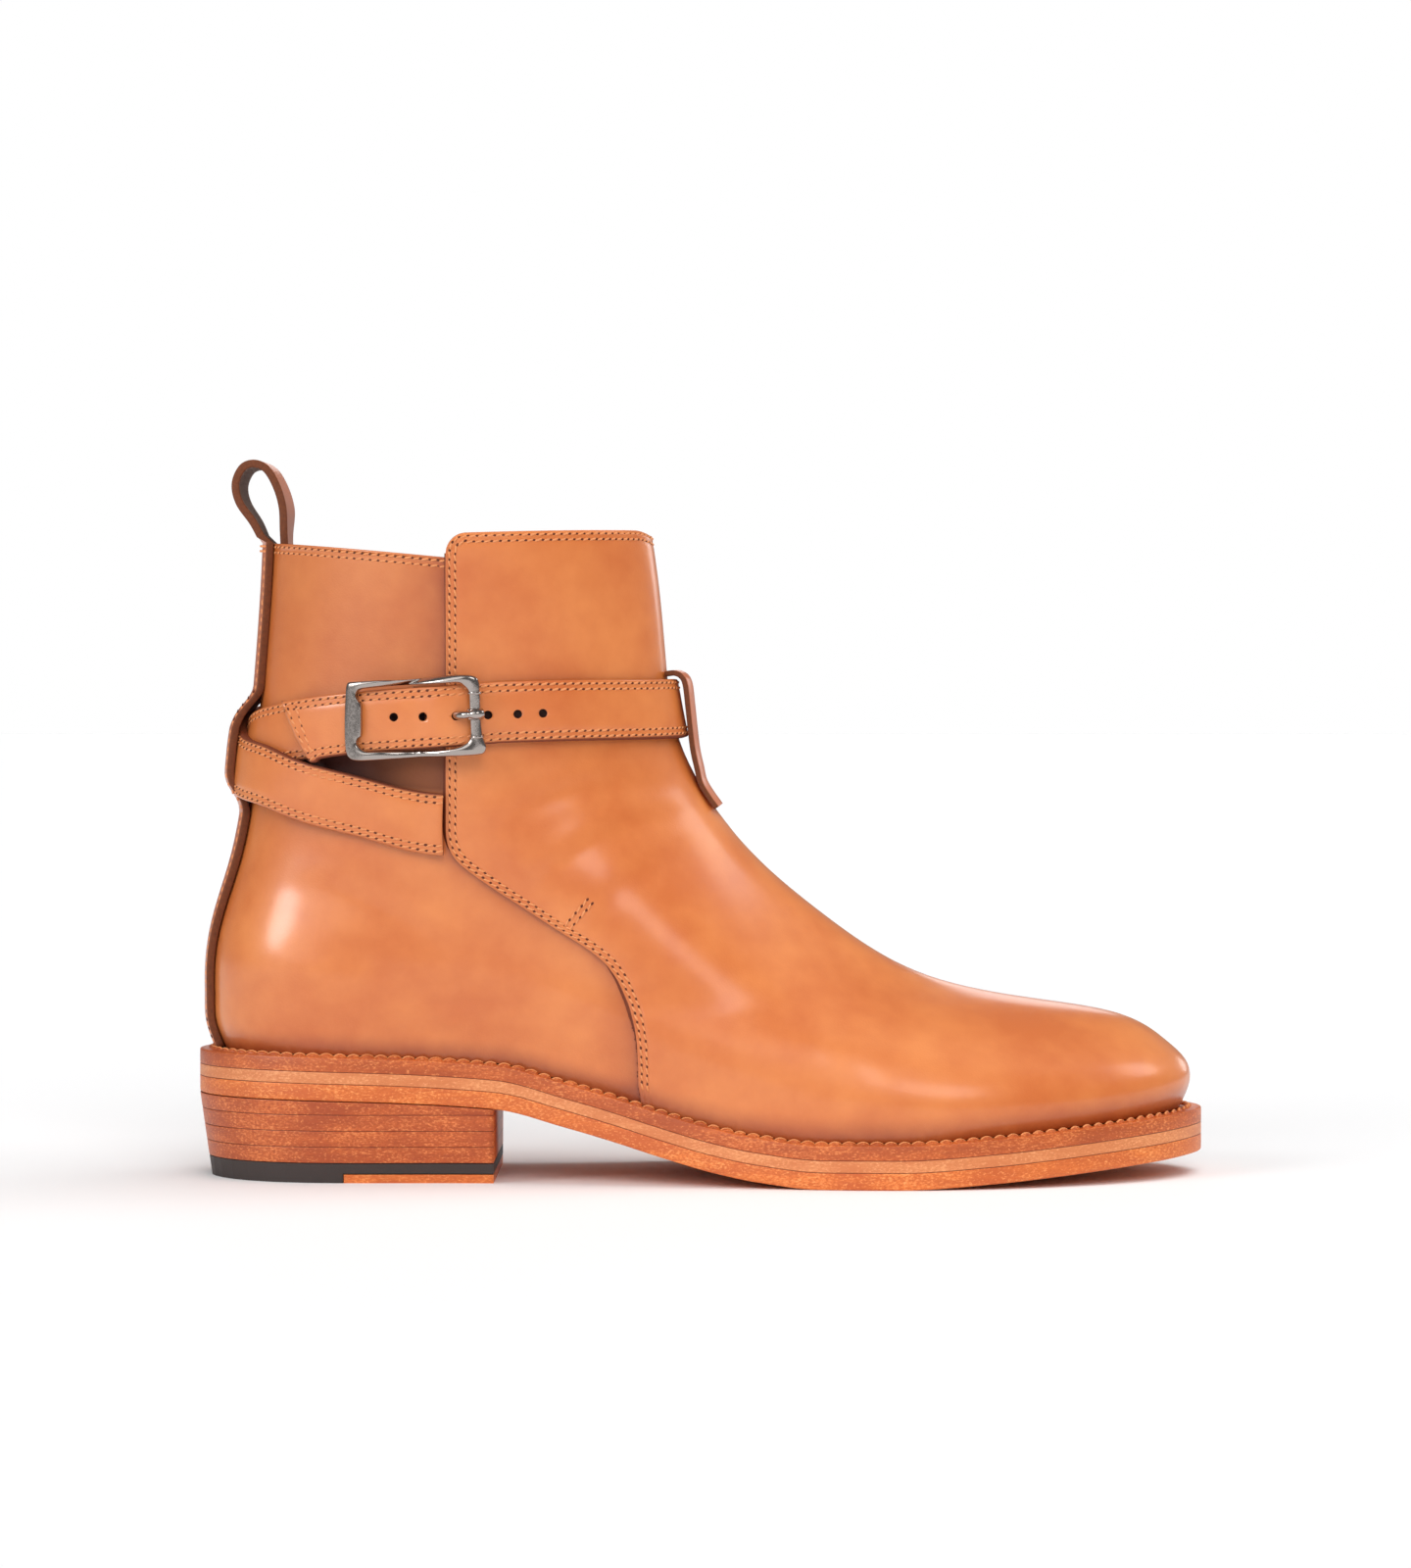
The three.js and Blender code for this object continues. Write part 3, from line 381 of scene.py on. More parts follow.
def ends_of(level):
    back, back_rise, front, front_rise, sag, swing = np.moveaxis(down_table(PROFILE, level), -1, 0)
    rear = FEATHER_REAR + FEATHER_LENGTH * back
    toe = FEATHER_REAR + FEATHER_LENGTH * front
    return rear, toe, REAR_FOOT + BACK_HEIGHT * back_rise, TOE_FOOT + FRONT_HEIGHT * front_rise, sag, swing


def last_point(angle, level):
    """Point of the last: angle 0 is the back, negative angles are the outer side, 180 is the front."""
    angle, level = np.broadcast_arrays(np.asarray(angle, float), np.asarray(level, float))
    angle = (angle + 180) % 360 - 180
    rear, toe, back_z, front_z, sag, swing = ends_of(level)
    along = (1 - np.cos(np.radians(angle))) / 2
    seat = welt_top(FEATHER_REAR + FEATHER_LENGTH * along) + SEAM
    dip = seat - (REAR_FOOT + (TOE_FOOT - REAR_FOOT) * along)
    table = np.where((angle < 0)[..., None], down_table(OUTER_FULLNESS, level), down_table(INNER_FULLNESS, level))
    fullness = along_row(table, np.abs(angle) / 180)
    y = np.sin(np.radians(angle)) * BALL_WIDTH * fullness + TOE_SWING * swing * along**2
    return np.stack([rear + (toe - rear) * along, y, back_z + (front_z - back_z) * along + sag * dip], -1)


def outward(angle, level):
    angle, level = np.broadcast_arrays(np.asarray(angle, float), np.asarray(level, float))
    run = last_point(angle + 0.5, level) - last_point(angle - 0.5, level)
    rise = last_point(angle, np.minimum(level + 0.002, 1)) - last_point(angle, np.maximum(level - 0.002, 0))
    normal = np.cross(rise, run)
    return normal / np.linalg.norm(normal, axis=-1, keepdims=True)


def beside_last(angle, level, distance):
    """Point at a distance outside the last, square to it; the foot and the collar stay level."""
    here, out = last_point(angle, level), outward(angle, level)
    point = here + out * np.asarray(distance)[..., None]
    rim = (np.asarray(level) <= 0) | (np.asarray(level) >= 1)
    point[..., 2] = np.where(rim, here[..., 2], point[..., 2])
    return point


def solve(rising, target, low, high):
    """Values between low and high where a rising function reaches the target."""
    low, high = np.broadcast_arrays(np.asarray(low, float), np.asarray(high, float))
    for _ in range(28):
        middle = (low + high) / 2
        below = rising(middle) < target
        low, high = np.where(below, middle, low), np.where(below, high, middle)
    return (low + high) / 2


def level_at(angle, height):
    angle, height = np.broadcast_arrays(np.asarray(angle, float), np.asarray(height, float))
    return solve(lambda t: last_point(angle, t)[..., 2], height, np.zeros(angle.shape), 1)


def at_height(angle, height, distance):
    return beside_last(angle, level_at(angle, height), distance)


def side_place(side, x, z):
    """Angle and level of the point of one side (-1 outer, 1 inner) seen at X and Z."""
    x, z = np.broadcast_arrays(np.asarray(x, float), np.asarray(z, float))

    def angle_of(level):
        rear, toe = ends_of(level)[:2]
        return np.degrees(np.arccos(np.clip(1 - 2 * (x - rear) / (toe - rear), -1, 1)))

    level = solve(lambda t: last_point(side * angle_of(t), t)[..., 2], z, np.zeros(x.shape), 1)
    return side * angle_of(level), level


COLLAR = REAR_FOOT + BACK_HEIGHT
# Rear edge of the front piece, seen from the side: heights and X from the welt's rear.
EDGE_Z = np.array([0, 27.1, 30, 35.5, 41.9, 47.4, 53.8, 61, 66.2, 70.9, 74.9, 81.8, 89.3, 95.5, 99.5, 104, 220])
EDGE_X = np.array([
    136.4, 136, 135.4, 135.4, 135.1, 134.3, 132.5, 129.4, 125.8, 120, 113.3, 102.7, 91, 82.2, 78.9, 77.7, 77.7,
])
edge_heights = np.linspace(20, 197, 355)
edge_line = np.interp(edge_heights, EDGE_Z, EDGE_X)
soften = np.hanning(13) / np.hanning(13).sum()
edge_line = np.convolve(np.pad(edge_line, 6, mode="edge"), soften, mode="valid")


def edge_x(z):
    return np.interp(z, edge_heights, edge_line)


LEVELS = np.linspace(0, 1, 201)


def edge_tables(side):
    """Angle of the front piece's edge on one side at every level, and degrees per millimetre square to it."""

    def past_edge(angle):
        point = last_point(side * angle, LEVELS)
        return point[..., 0] - edge_x(point[..., 2])

    angle = solve(past_edge, 0, np.zeros(len(LEVELS)), 178)
    here = last_point(side * angle, LEVELS)
    step = last_point(side * (angle + 1), LEVELS) - here
    slope = np.gradient(here[:, 0], here[:, 2])
    lean = np.sqrt(1 + slope**2)
    return angle, lean / np.linalg.norm(step, axis=-1)


EDGES = {side: edge_tables(side) for side in (-1, 1)}


def edge_angle(side, level, inside=0.0):
    """Angle at a distance inside the front piece's edge, counted from the back."""
    angle, scale = EDGES[side]
    return side * (np.interp(level, LEVELS, angle) + inside * np.interp(level, LEVELS, scale))


def collar_height(x):
    fall = COLLAR_DROP * np.clip((x - FEATHER_REAR - 0.05 * FEATHER_LENGTH) / (PANEL_REAR - 22), 0, 1)
    return COLLAR - fall


def panel_height(x):
    """Fall of the front piece's top edge: round at its rear corners, a little lower at the front."""
    corner = np.clip(PANEL_CORNER - (x - PANEL_REAR), 0, PANEL_CORNER)
    front = FEATHER_REAR + FEATHER_LENGTH * PROFILE[-1][2]
    turn = PANEL_CORNER - np.sqrt(np.maximum(PANEL_CORNER**2 - corner**2, 0))
    return turn + FRONT_FALL * np.clip((x - front) / FALL_LENGTH + 1, 0, 1) ** 2


def leather(name, base, light, dark, raw, gloss=0.7, rough=0.42, grain=0.05):
    """Waxed leather: clouded colour; darker where its darkening mask is high, which is burnish and, on the quarters,
    painted shade; cut fibres where raw is high; painted shade where the mask shade is high.
    """
    f = Finish(name, Coat_Roughness=0.21)
    cloud = f.noise(38, 3)
    fine = f.noise(7, 4)
    body = f.blend(f.ramp(cloud * 0.75 + fine * 0.25, (0.36, 0), (0.64, 1)), tint(*base), tint(*light))
    burnish_and_shade = f.mask("burnish_and_shade") * (0.7 + 0.6 * f.noise(5, 3))
    body = f.blend(burnish_and_shade, body, tint(*dark))
    cut = f.mask("raw")
    fibre = f.noise(0.9, 4)
    body = f.blend(cut, body, f.blend(fibre, tint(*raw), tint(*(c * 0.62 for c in raw))))
    shade = f.mask("shade")
    f.give("Base Color", f.blend(shade, body, tint(66, 20, 6)))
    f.give("Roughness", rough + 0.1 * fine + cut * 0.3 + shade * 0.4)
    f.give("Coat Weight", (1 - cut) * (1 - shade) * gloss)
    pores = f.add("ShaderNodeTexVoronoi", {"Vector": f.place, "Scale": 1000 / 0.55}, feature="F1")
    wrinkles = f.noise(2.6, 6, rough=0.65)
    bump = f.relief(wrinkles, grain)
    bump = f.relief(pores, grain * 0.55, bump)
    f.give("Normal", bump)
    return f.material


calf = leather("tan_calf", (210, 109, 46), (229, 134, 66), (146, 56, 14), (146, 68, 34))
lining_leather = leather(
    "lining_leather", (190, 134, 92), (206, 154, 112), (150, 95, 60), (184, 124, 88),
    gloss=0.1, rough=0.55, grain=0.04,
)

GROOVES = (1.15, 2.85)
GROOVE_DEPTH, GROOVE_HALF = 0.2, 0.5


def groove(inside):
    """Depth to which two rows of stitches pull the leather down."""
    return GROOVE_DEPTH * sum(np.exp(-(((inside - g) / GROOVE_HALF) ** 2)) for g in GROOVES)


def near_edge(count, reach):
    """Distances from an edge, close together at first."""
    return reach * np.linspace(0, 1, count) ** 1.3


def waves(point):
    """Slow hand-made unevenness of stretched leather, in millimetres."""
    x, y, z = np.moveaxis(point, -1, 0)
    slow = np.sin(x / 17 + y / 23 + 1.1) * np.sin(z / 21 + 0.6) + 0.6 * np.sin(x / 9.5 - z / 13 + y / 15)
    return 0.16 * slow


# Creases: middle X and Z seen from the side, direction in degrees, half length, half width, depth.
CREASES = [
    (121, 101, 28, 24, 3.4, 0.36), (131, 88, 36, 26, 3.8, 0.26), (118, 118, 12, 20, 3.4, 0.4),
    (52, 84, -20, 22, 4, 0.3), (47, 67, -12, 20, 4.5, 0.25), (196, 46, 60, 14, 4, 0.22), (211, 43, 64, 13, 4, 0.22),
]


def creases(point):
    x, z = point[..., 0], point[..., 2]
    depth = np.zeros(x.shape)
    for middle_x, middle_z, turn, length, width, deep in CREASES:
        c, s = math.cos(math.radians(turn)), math.sin(math.radians(turn))
        run, off = (x - middle_x) * c + (z - middle_z) * s, (z - middle_z) * c - (x - middle_x) * s
        off = off + run**2 / (6 * length)
        trough = np.exp(-((off / width) ** 2)) - 0.5 * np.exp(-(((off - 1.9 * width) / width) ** 2))
        depth += deep * trough * np.exp(-((run / length) ** 2))
    return depth


RIM = [
    # drop below the collar line, share of the thickness left outside
    (0.75, 1), (0.45, 0.97), (0.2, 0.87), (0.05, 0.7), (0, 0.5),
    (0.05, 0.3), (0.2, 0.13), (0.45, 0.03), (2, 0), (5, 0),
]
RIM_OUTSIDE = 3
LEVEL_STEP = 0.02


def rows_to_rim(angles, top, shares):
    """Levels from the foot to the collar and round its rim, the share kept outside, and the drop from the top."""
    rise = last_point(angles, top)[:, 2] - last_point(angles, top - LEVEL_STEP)[:, 2]
    per_mm = LEVEL_STEP / rise
    level = [s * (top - RIM[0][0] * per_mm) for s in shares] + [top - drop * per_mm for drop, _ in RIM]
    kept = [np.ones(len(top))] * len(shares) + [np.full(len(top), share) for _, share in RIM]
    level = np.array(level)
    return level, np.array(kept), (top - level) / per_mm


# Front piece: columns from its outer edge round the toe to its inner edge.
PANEL_NEAR = near_edge(16, 6.5)
PANEL_MIDDLE, PANEL_ROWS, PANEL_TOP_LEVEL = 270, 185, 0.985
PANEL_INSIDE = 30.0


def panel_grid():
    count = 2 * len(PANEL_NEAR) + PANEL_MIDDLE
    inside = np.concatenate([PANEL_NEAR, np.full(PANEL_MIDDLE, PANEL_INSIDE), PANEL_NEAR[::-1]])
    top_angles = np.array([float(panel_column(j, PANEL_TOP_LEVEL)) for j in range(count)])
    top_x = last_point(top_angles, PANEL_TOP_LEVEL)[:, 0]
    top = level_at(top_angles, last_point(top_angles, 1.0)[:, 2] - panel_height(top_x))
    level, kept, drop = rows_to_rim(top_angles, top, np.linspace(0, 1, PANEL_ROWS) ** 0.95)
    angle = np.column_stack([panel_column(j, level[:, j]) for j in range(count)])
    base = last_point(angle, level)
    body = smooth_step(level, 0.01, 0.05)
    distance = PANEL_STEP + body * smooth_step(drop, 0, 4) * (waves(base) - creases(base))
    outside = np.arange(len(level)) < PANEL_ROWS + RIM_OUTSIDE
    distance -= outside[:, None] * (groove(inside)[None, :] * smooth_step(level, 0.0, 0.02) + groove(drop))
    distance -= (1 - kept) * (PANEL_STEP + WALL - LINING_AT_RIM)
    distance[0] = PANEL_STEP
    return angle, level, distance, inside


def panel_column(j, level):
    near, count = len(PANEL_NEAR), 2 * len(PANEL_NEAR) + PANEL_MIDDLE
    if j < near:
        return edge_angle(-1, level, PANEL_NEAR[j])
    if j >= count - near:
        return edge_angle(1, level, PANEL_NEAR[count - 1 - j]) - 360
    start = edge_angle(-1, level, PANEL_NEAR[-1])
    end = edge_angle(1, level, PANEL_NEAR[-1]) - 360
    return start + (end - start) * (j - near + 1) / (PANEL_MIDDLE + 1)


def with_cut_edges(angle, level, distance, lowest):
    """Adds columns that turn each side edge down to the leather below, as a rounded cut edge."""
    columns = []
    steps = [(0.02, 0.05), (0.1, 0.3), (0.28, 0.62), (0.28, 1.0)]
    bits = np.random.default_rng(7).uniform(0, 1, len(angle))
    ragged = 0.1 + 1.6 * bits**3 * smooth_step(-level[:, 0], -0.4, -0.25)
    for side, first, second in ((-1, 0, 1), (1, -1, -2)):
        outward_step = angle[:, first] - angle[:, second]
        scale = outward_step / PANEL_NEAR[1]
        strip = []
        for out, sink in steps:
            depth = distance[:, first] - sink * (distance[:, first] - lowest)
            strip.append((angle[:, first] + scale * out * (1 + ragged), level[:, first], depth))
        columns.append(strip)
    wide = [
        np.column_stack([s[k] for s in columns[0][::-1]] + [middle] + [s[k] for s in columns[1]])
        for k, middle in enumerate((angle, level, distance))
    ]
    return *wide, len(steps)


angle, level, distance, inside = panel_grid()
wide_angle, wide_level, wide_distance, extra = with_cut_edges(angle, level, distance, -0.4)
points = beside_last(wide_angle, wide_level, wide_distance)
foot = smooth_step(welt_top(points[..., 0]) - points[..., 2], -9, 0)
raw = np.zeros(wide_level.shape)
raw[:, :extra] = raw[:, -extra:] = 1
raw[-6:, :] = 0.8
# Darker just above the welt and along the cut edges.
burnish_and_shade = 0.7 * foot + 0.25 * np.exp(-np.pad(inside, extra, mode="edge") / 1.2)
front_piece = make_piece(
    "front_piece", points, grid_faces(*wide_level.shape), calf, {"burnish_and_shade": burnish_and_shade, "raw": raw}
)
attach(front_piece, "root")
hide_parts("upper")

# Quarters: one skin round the back, tucked under the front piece on both sides.
QUARTER_COLUMNS, QUARTER_ROWS, QUARTER_TOP_LEVEL, TUCK = 250, 125, 0.96, 9


def quarter_column(j, level):
    start, end = edge_angle(-1, level, TUCK), edge_angle(1, level, TUCK)
    return start + (end - start) * j / (QUARTER_COLUMNS - 1)


def level_below_collar(angles, drop):
    """Level of the last at a drop below the quarters' collar."""

    def above_collar(level):
        point = last_point(angles, level)
        return point[..., 2] - collar_height(point[..., 0])

    return solve(above_collar, -drop, np.full(len(angles), 0.5), 1)


top_angle = np.array([float(quarter_column(j, QUARTER_TOP_LEVEL)) for j in range(QUARTER_COLUMNS)])
top = np.minimum(level_below_collar(top_angle, 0), 0.9995)
level, kept, drop = rows_to_rim(top_angle, top, np.linspace(0, 1, QUARTER_ROWS))
angle = np.column_stack([quarter_column(j, level[:, j]) for j in range(QUARTER_COLUMNS)])
base = last_point(angle, level)
behind = edge_x(base[..., 2]) - base[..., 0]
body = smooth_step(level, 0.01, 0.05) * smooth_step(drop, 0, 4) * smooth_step(behind, 0, 8)
distance = body * (waves(base) - creases(base))
distance -= (np.arange(len(level)) < QUARTER_ROWS + RIM_OUTSIDE)[:, None] * groove(drop)
distance -= (1 - kept) * (WALL - LINING_AT_RIM)
points = beside_last(angle, level, distance)
foot = smooth_step(welt_top(points[..., 0]) - points[..., 2], -8, 0)
raw = np.zeros(level.shape)
raw[-6:, :] = 0.8
x, y, z = np.moveaxis(points, -1, 0)
# Darker just above the welt; painted shadow of the front piece's edge on the quarters behind it; painted shade over
# the upper quarters up to the collar.
burnish_and_shade = 0.7 * foot + 0.6 * np.exp(-np.clip(behind, 0, 99) / 4.5) + 0.2 * smooth_step(z, 140, 165)
# The leather between the crossing straps, on the outer side, lies in their shade.
shade = smooth_step(z, 115, 119) * smooth_step(-z, -136, -129) * (y < 0)
shade = shade * smooth_step(x, 24, 36) * (1 - 0.3 * smooth_step(x, 45, 78))
quarters = make_piece(
    "quarters", points, grid_faces(*level.shape), calf, {"burnish_and_shade": burnish_and_shade, "raw": raw, "shade": shade}
)
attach(quarters, "root")
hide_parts("upper")

# Stitches: waxed thread drawn into the leather, each one a short plump arc between two needle holes.
STITCH_PITCH, STITCH_LENGTH, THREAD_RADIUS, THREAD_SINK, NEEDLE_SHADE_RADIUS = 2.6, 1.9, 0.34, 0.22, 0.46
thread_finish = Finish("orange_thread", Base_Color=tint(232, 150, 92), Roughness=0.5)
thread_finish.give("Normal", thread_finish.relief(thread_finish.noise(0.35, 2), 0.08))
thread = thread_finish.material
# Needle holes: dark brown marks sunk at each hole, painted shade of the holes.
needle_shade_finish = Finish("needle_hole_shade", Roughness=0.8)
needle_shade_finish.give("Base Color", needle_shade_finish.blend(needle_shade_finish.noise(0.6), tint(74, 28, 10), tint(112, 48, 22)))
needle_hole_shade = needle_shade_finish.material


def along_rows(name, shape, inputs):
    """Geometry tree that sets one shape at even steps along rows of points, square to the surface."""
    tree = bpy.data.node_groups.new(name, "GeometryNodeTree")
    tree.interface.new_socket("Rows", in_out="INPUT", socket_type="NodeSocketGeometry")
    for label, value in inputs.items():
        kind = "NodeSocketFloat" if value is not None else "NodeSocketMaterial"
        socket = tree.interface.new_socket(label, in_out="INPUT", socket_type=kind)
        if value is not None:
            socket.default_value = value
    tree.interface.new_socket("Row", in_out="OUTPUT", socket_type="NodeSocketGeometry")
    n = Nodes(tree)
    source = tree.nodes.new("NodeGroupInput")
    given = {label: Wire(n, source.outputs[label]) for label in inputs}
    curve = n.add("GeometryNodeMeshToCurve", {"Mesh": Wire(n, source.outputs["Rows"])})
    steps = n.add("GeometryNodeResampleCurve", {"Curve": curve, "Length": given["Pitch"]}, mode="LENGTH")
    out = n.add("GeometryNodeInputNamedAttribute", {"Name": "outward"}, data_type="FLOAT_VECTOR")
    axes = {"Primary Axis": out, "Secondary Axis": n.add("GeometryNodeInputTangent")}
    turn = n.add("FunctionNodeAxesToRotation", axes, primary_axis="Z", secondary_axis="X")
    size = n.add("FunctionNodeRandomValue", {2: 0.9, 3: 1.1, "Seed": 4}, output=1, data_type="FLOAT")
    places = {"Points": steps, "Instance": shape(n, given), "Rotation": turn, "Scale": size}
    placed = n.add("GeometryNodeInstanceOnPoints", places)
    real = n.add("GeometryNodeRealizeInstances", {"Geometry": placed})
    shaded = n.add("GeometryNodeSetShadeSmooth", {"Geometry": real})
    dressed = n.add("GeometryNodeSetMaterial", {"Geometry": shaded, "Material": given["Material"]})
    n.feed(tree.nodes.new("NodeGroupOutput").inputs["Row"], dressed)
    return tree


def vector(n, x=0.0, y=0.0, z=0.0):
    return n.add("ShaderNodeCombineXYZ", {"X": x, "Y": y, "Z": z})


def thread_arc(n, given):
    half, sink, radius = given["Length"] * 0.5, given["Sink"] * -1, given["Radius"]
    lean = given["Length"] * 0.13
    points = {"Resolution": 5, "Start": vector(n, half * -1, lean * -1, sink), "End": vector(n, half, lean, sink),
              "Middle": vector(n, 0.0, 0.0, radius * 1.1 + given["Sink"])}
    arc = n.add("GeometryNodeCurveQuadraticBezier", points)
    ring = n.add("GeometryNodeCurvePrimitiveCircle", {"Resolution": 6, "Radius": radius})
    return n.add("GeometryNodeCurveToMesh", {"Curve": arc, "Profile Curve": ring, "Fill Caps": True})


# A flattened dark ball half a pitch along, painted shade of a needle hole.
def needle_shade_mark(n, given):
    ball = n.add("GeometryNodeMeshUVSphere", {"Segments": 8, "Rings": 4, "Radius": given["Radius"]})
    place = {"Geometry": ball, "Translation": vector(n, given["Pitch"] * 0.5), "Scale": (1.35, 0.8, 0.55)}
    return n.add("GeometryNodeTransform", place)


mm = 0.001
thread_tree = along_rows("thread_row", thread_arc, {
    "Pitch": STITCH_PITCH * mm, "Length": STITCH_LENGTH * mm, "Radius": THREAD_RADIUS * mm,
    "Sink": THREAD_SINK * mm, "Material": None,
})
needle_shade_tree = along_rows("needle_holes", needle_shade_mark, {
    "Pitch": STITCH_PITCH * mm, "Radius": NEEDLE_SHADE_RADIUS * mm, "Material": None,
})


def sew(name, rows, tree, material, slot, **sizes):
    """Runs a tree along rows of (points, outward) and keeps the result as one plain mesh."""
    points = np.concatenate([row for row, _ in rows])
    out = np.concatenate([normal for _, normal in rows])
    edges, first = [], 0
    for row, _ in rows:
        edges += [(first + k, first + k + 1) for k in range(len(row) - 1)]
        first += len(row)
    mesh = bpy.data.meshes.new(name + "_rows")
    mesh.from_pydata(((points + (ORIGIN, 0, 0)) / 1000).tolist(), edges, [])
    layer = mesh.attributes.new("outward", "FLOAT_VECTOR", "POINT")
    layer.data.foreach_set("vector", out.ravel())
    piece = bpy.data.objects.new(name, mesh)
    bpy.context.scene.collection.objects.link(piece)
    run = piece.modifiers.new("sewing", "NODES")
    run.node_group = tree
    values = {"Material": material, **{label: value * mm for label, value in sizes.items()}}
    for socket in tree.interface.items_tree:
        if socket.in_out == "INPUT" and socket.name in values:
            run[socket.identifier] = values[socket.name]
    sewn = bpy.data.meshes.new_from_object(piece.evaluated_get(bpy.context.evaluated_depsgraph_get()))
    piece.modifiers.clear()
    piece.data = sewn
    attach(piece, "root")
    return piece


def stitch(name, rows, slot):
    """Thread along rows, with dark marks of painted shade at the needle holes."""
    sew(name + "_thread", rows, thread_tree, thread, slot)
    sew(name + "_holes", rows, needle_shade_tree, needle_hole_shade, slot)


def upper_row(angle, level, distance):
    """Row on the skin of the upper, at a distance from the last."""
    base = last_point(angle, level)
    height = distance + waves(base) - creases(base) - GROOVE_DEPTH
    return beside_last(angle, level, height), outward(angle, level)


def front_row(inside):
    """Path inside the front piece's whole free edge: up its outer side, along the collar, down its inner side."""
    halves = []
    for side in (-1, 1):
        corner_top = float(last_point(side_place(side, PANEL_REAR + PANEL_CORNER, 190)[0], 1.0)[2])
        foot_level = float(side_place(side, 137.5, 28.5)[1])
        corner_level = float(side_place(side, PANEL_REAR + inside, corner_top - PANEL_CORNER)[1])
        up = np.linspace(foot_level + 0.012, corner_level, 120)
        turn = np.linspace(0, math.pi / 2, 8)[1:]
        x = PANEL_REAR + PANEL_CORNER - (PANEL_CORNER - inside) * np.cos(turn)
        z = corner_top - PANEL_CORNER + (PANEL_CORNER - inside) * np.sin(turn)
        arc_angle, arc_level = side_place(side, x, z)
        over_angle = np.linspace(arc_angle[-1], side * 180, 60)[1:-1]
        over = last_point(over_angle, 1.0)
        over_level = level_at(over_angle, over[:, 2] - panel_height(over[:, 0]) - inside)
        angle = np.concatenate([edge_angle(side, up, inside), arc_angle, over_angle])
        halves.append((angle, np.concatenate([up, arc_level, over_level])))
    (left, low), (right, high) = halves
    return np.concatenate([left, right[::-1]]), np.concatenate([low, high[::-1]])


rows = [upper_row(*front_row(inside), PANEL_STEP) for inside in GROOVES]
# Ends of the short double row on the front piece: X and Z seen from the side.
TACK = [((113.9, 78.4), (119.1, 84.4)), ((115.3, 77.2), (120.5, 83.2))]
for side in (-1, 1):
    for (x0, z0), (x1, z1) in TACK:
        place = side_place(side, np.linspace(x0, x1, 6), np.linspace(z0, z1, 6))
        rows.append(upper_row(*place, PANEL_STEP + GROOVE_DEPTH))
stitch("front", rows, "upper_leather")

rows = []
for inside in GROOVES:
    first, last = (float(edge_angle(side, QUARTER_TOP_LEVEL)) for side in (-1, 1))
    angles = np.linspace(first + 1, last - 1, 120)
    rows.append(upper_row(angles, level_below_collar(angles, inside), 0))
stitch("quarter", rows, "upper_leather")

# Lining: one pale leather shell inside, from the insole to just under the collar.
LINING_COLUMNS, LINING_ROWS, LINING_DROP, LINING_OUTER = 140, 70, 0.9, 0.85
around = np.linspace(-180, 180, LINING_COLUMNS + 1)[:-1]
rim_point = last_point(around, 0.98)
blend_share = smooth_step(rim_point[:, 0], PANEL_REAR + 4, PANEL_REAR + 12)
quarter_top = collar_height(rim_point[:, 0]) - LINING_DROP
front_top = last_point(around, 1.0)[:, 2] - panel_height(rim_point[:, 0]) - LINING_DROP
lining_level = level_at(around, quarter_top + (front_top - quarter_top) * blend_share)
inner_rows = np.linspace(1, 0, LINING_ROWS)
outer_rows = np.linspace(0, 1, LINING_ROWS // 2)
level = np.concatenate([inner_rows[:, None] * lining_level, outer_rows[:, None] * lining_level])
deep = np.concatenate([np.full((LINING_ROWS, 1), -WALL), np.full((LINING_ROWS // 2, 1), -LINING_OUTER)])
points = beside_last(np.broadcast_to(around, level.shape), level, np.broadcast_to(deep, level.shape))
lining = make_piece(
    "lining", points, grid_faces(*level.shape, round_rows=True, round_columns=True), lining_leather,
    {"burnish_and_shade": np.zeros(level.shape), "raw": np.zeros(level.shape)},
)
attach(lining, "root")
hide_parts("upper")

# Ankle straps: calf folded round a filler, with painted edges and two rows of stitches along each edge. The long
# strap runs from the outer side round the back and the inner side to the buckle; the short one carries the buckle.
STRAP_WIDTH, STRAP_THICKNESS, STRAP_HEIGHT, CROSS_HEIGHT, ROOT_HEIGHT = 18.4, 2.6, 142, 128, 108
STRAP_CLEARANCE, HOLE_DIAMETER = 0.5, 2.6
PANEL_RAMP, ROOT_TAPER, STRAP_CORNER, STRAP_FULLNESS = 9, 14, 0.75, 0.12
BUCKLE_MIDDLE = 69


def strap_middle(share):
    span = np.where(share < 0, CROSS_HEIGHT - ROOT_HEIGHT, STRAP_HEIGHT - CROSS_HEIGHT)
    return CROSS_HEIGHT + share * span


def strap_bed(x):
    return STRAP_CLEARANCE + PANEL_STEP * smooth_step(x, PANEL_REAR - PANEL_RAMP, PANEL_REAR - SEAM)


def side_angle(side, x, height):
    return float(side_place(side, x, height)[0])


def as_numbers(value):
    return np.asarray(value, float)


def root_row(side):
    x = PANEL_REAR - 2 * SEAM
    lower = side_angle(side, x, ROOT_HEIGHT - STRAP_WIDTH / 2)
    upper = side_angle(side, x, ROOT_HEIGHT + STRAP_WIDTH / 2)
    return ((lower + upper) / 2, -1, 0, 0, upper - lower)


buckle_angle = side_angle(-1, BUCKLE_MIDDLE, STRAP_HEIGHT)
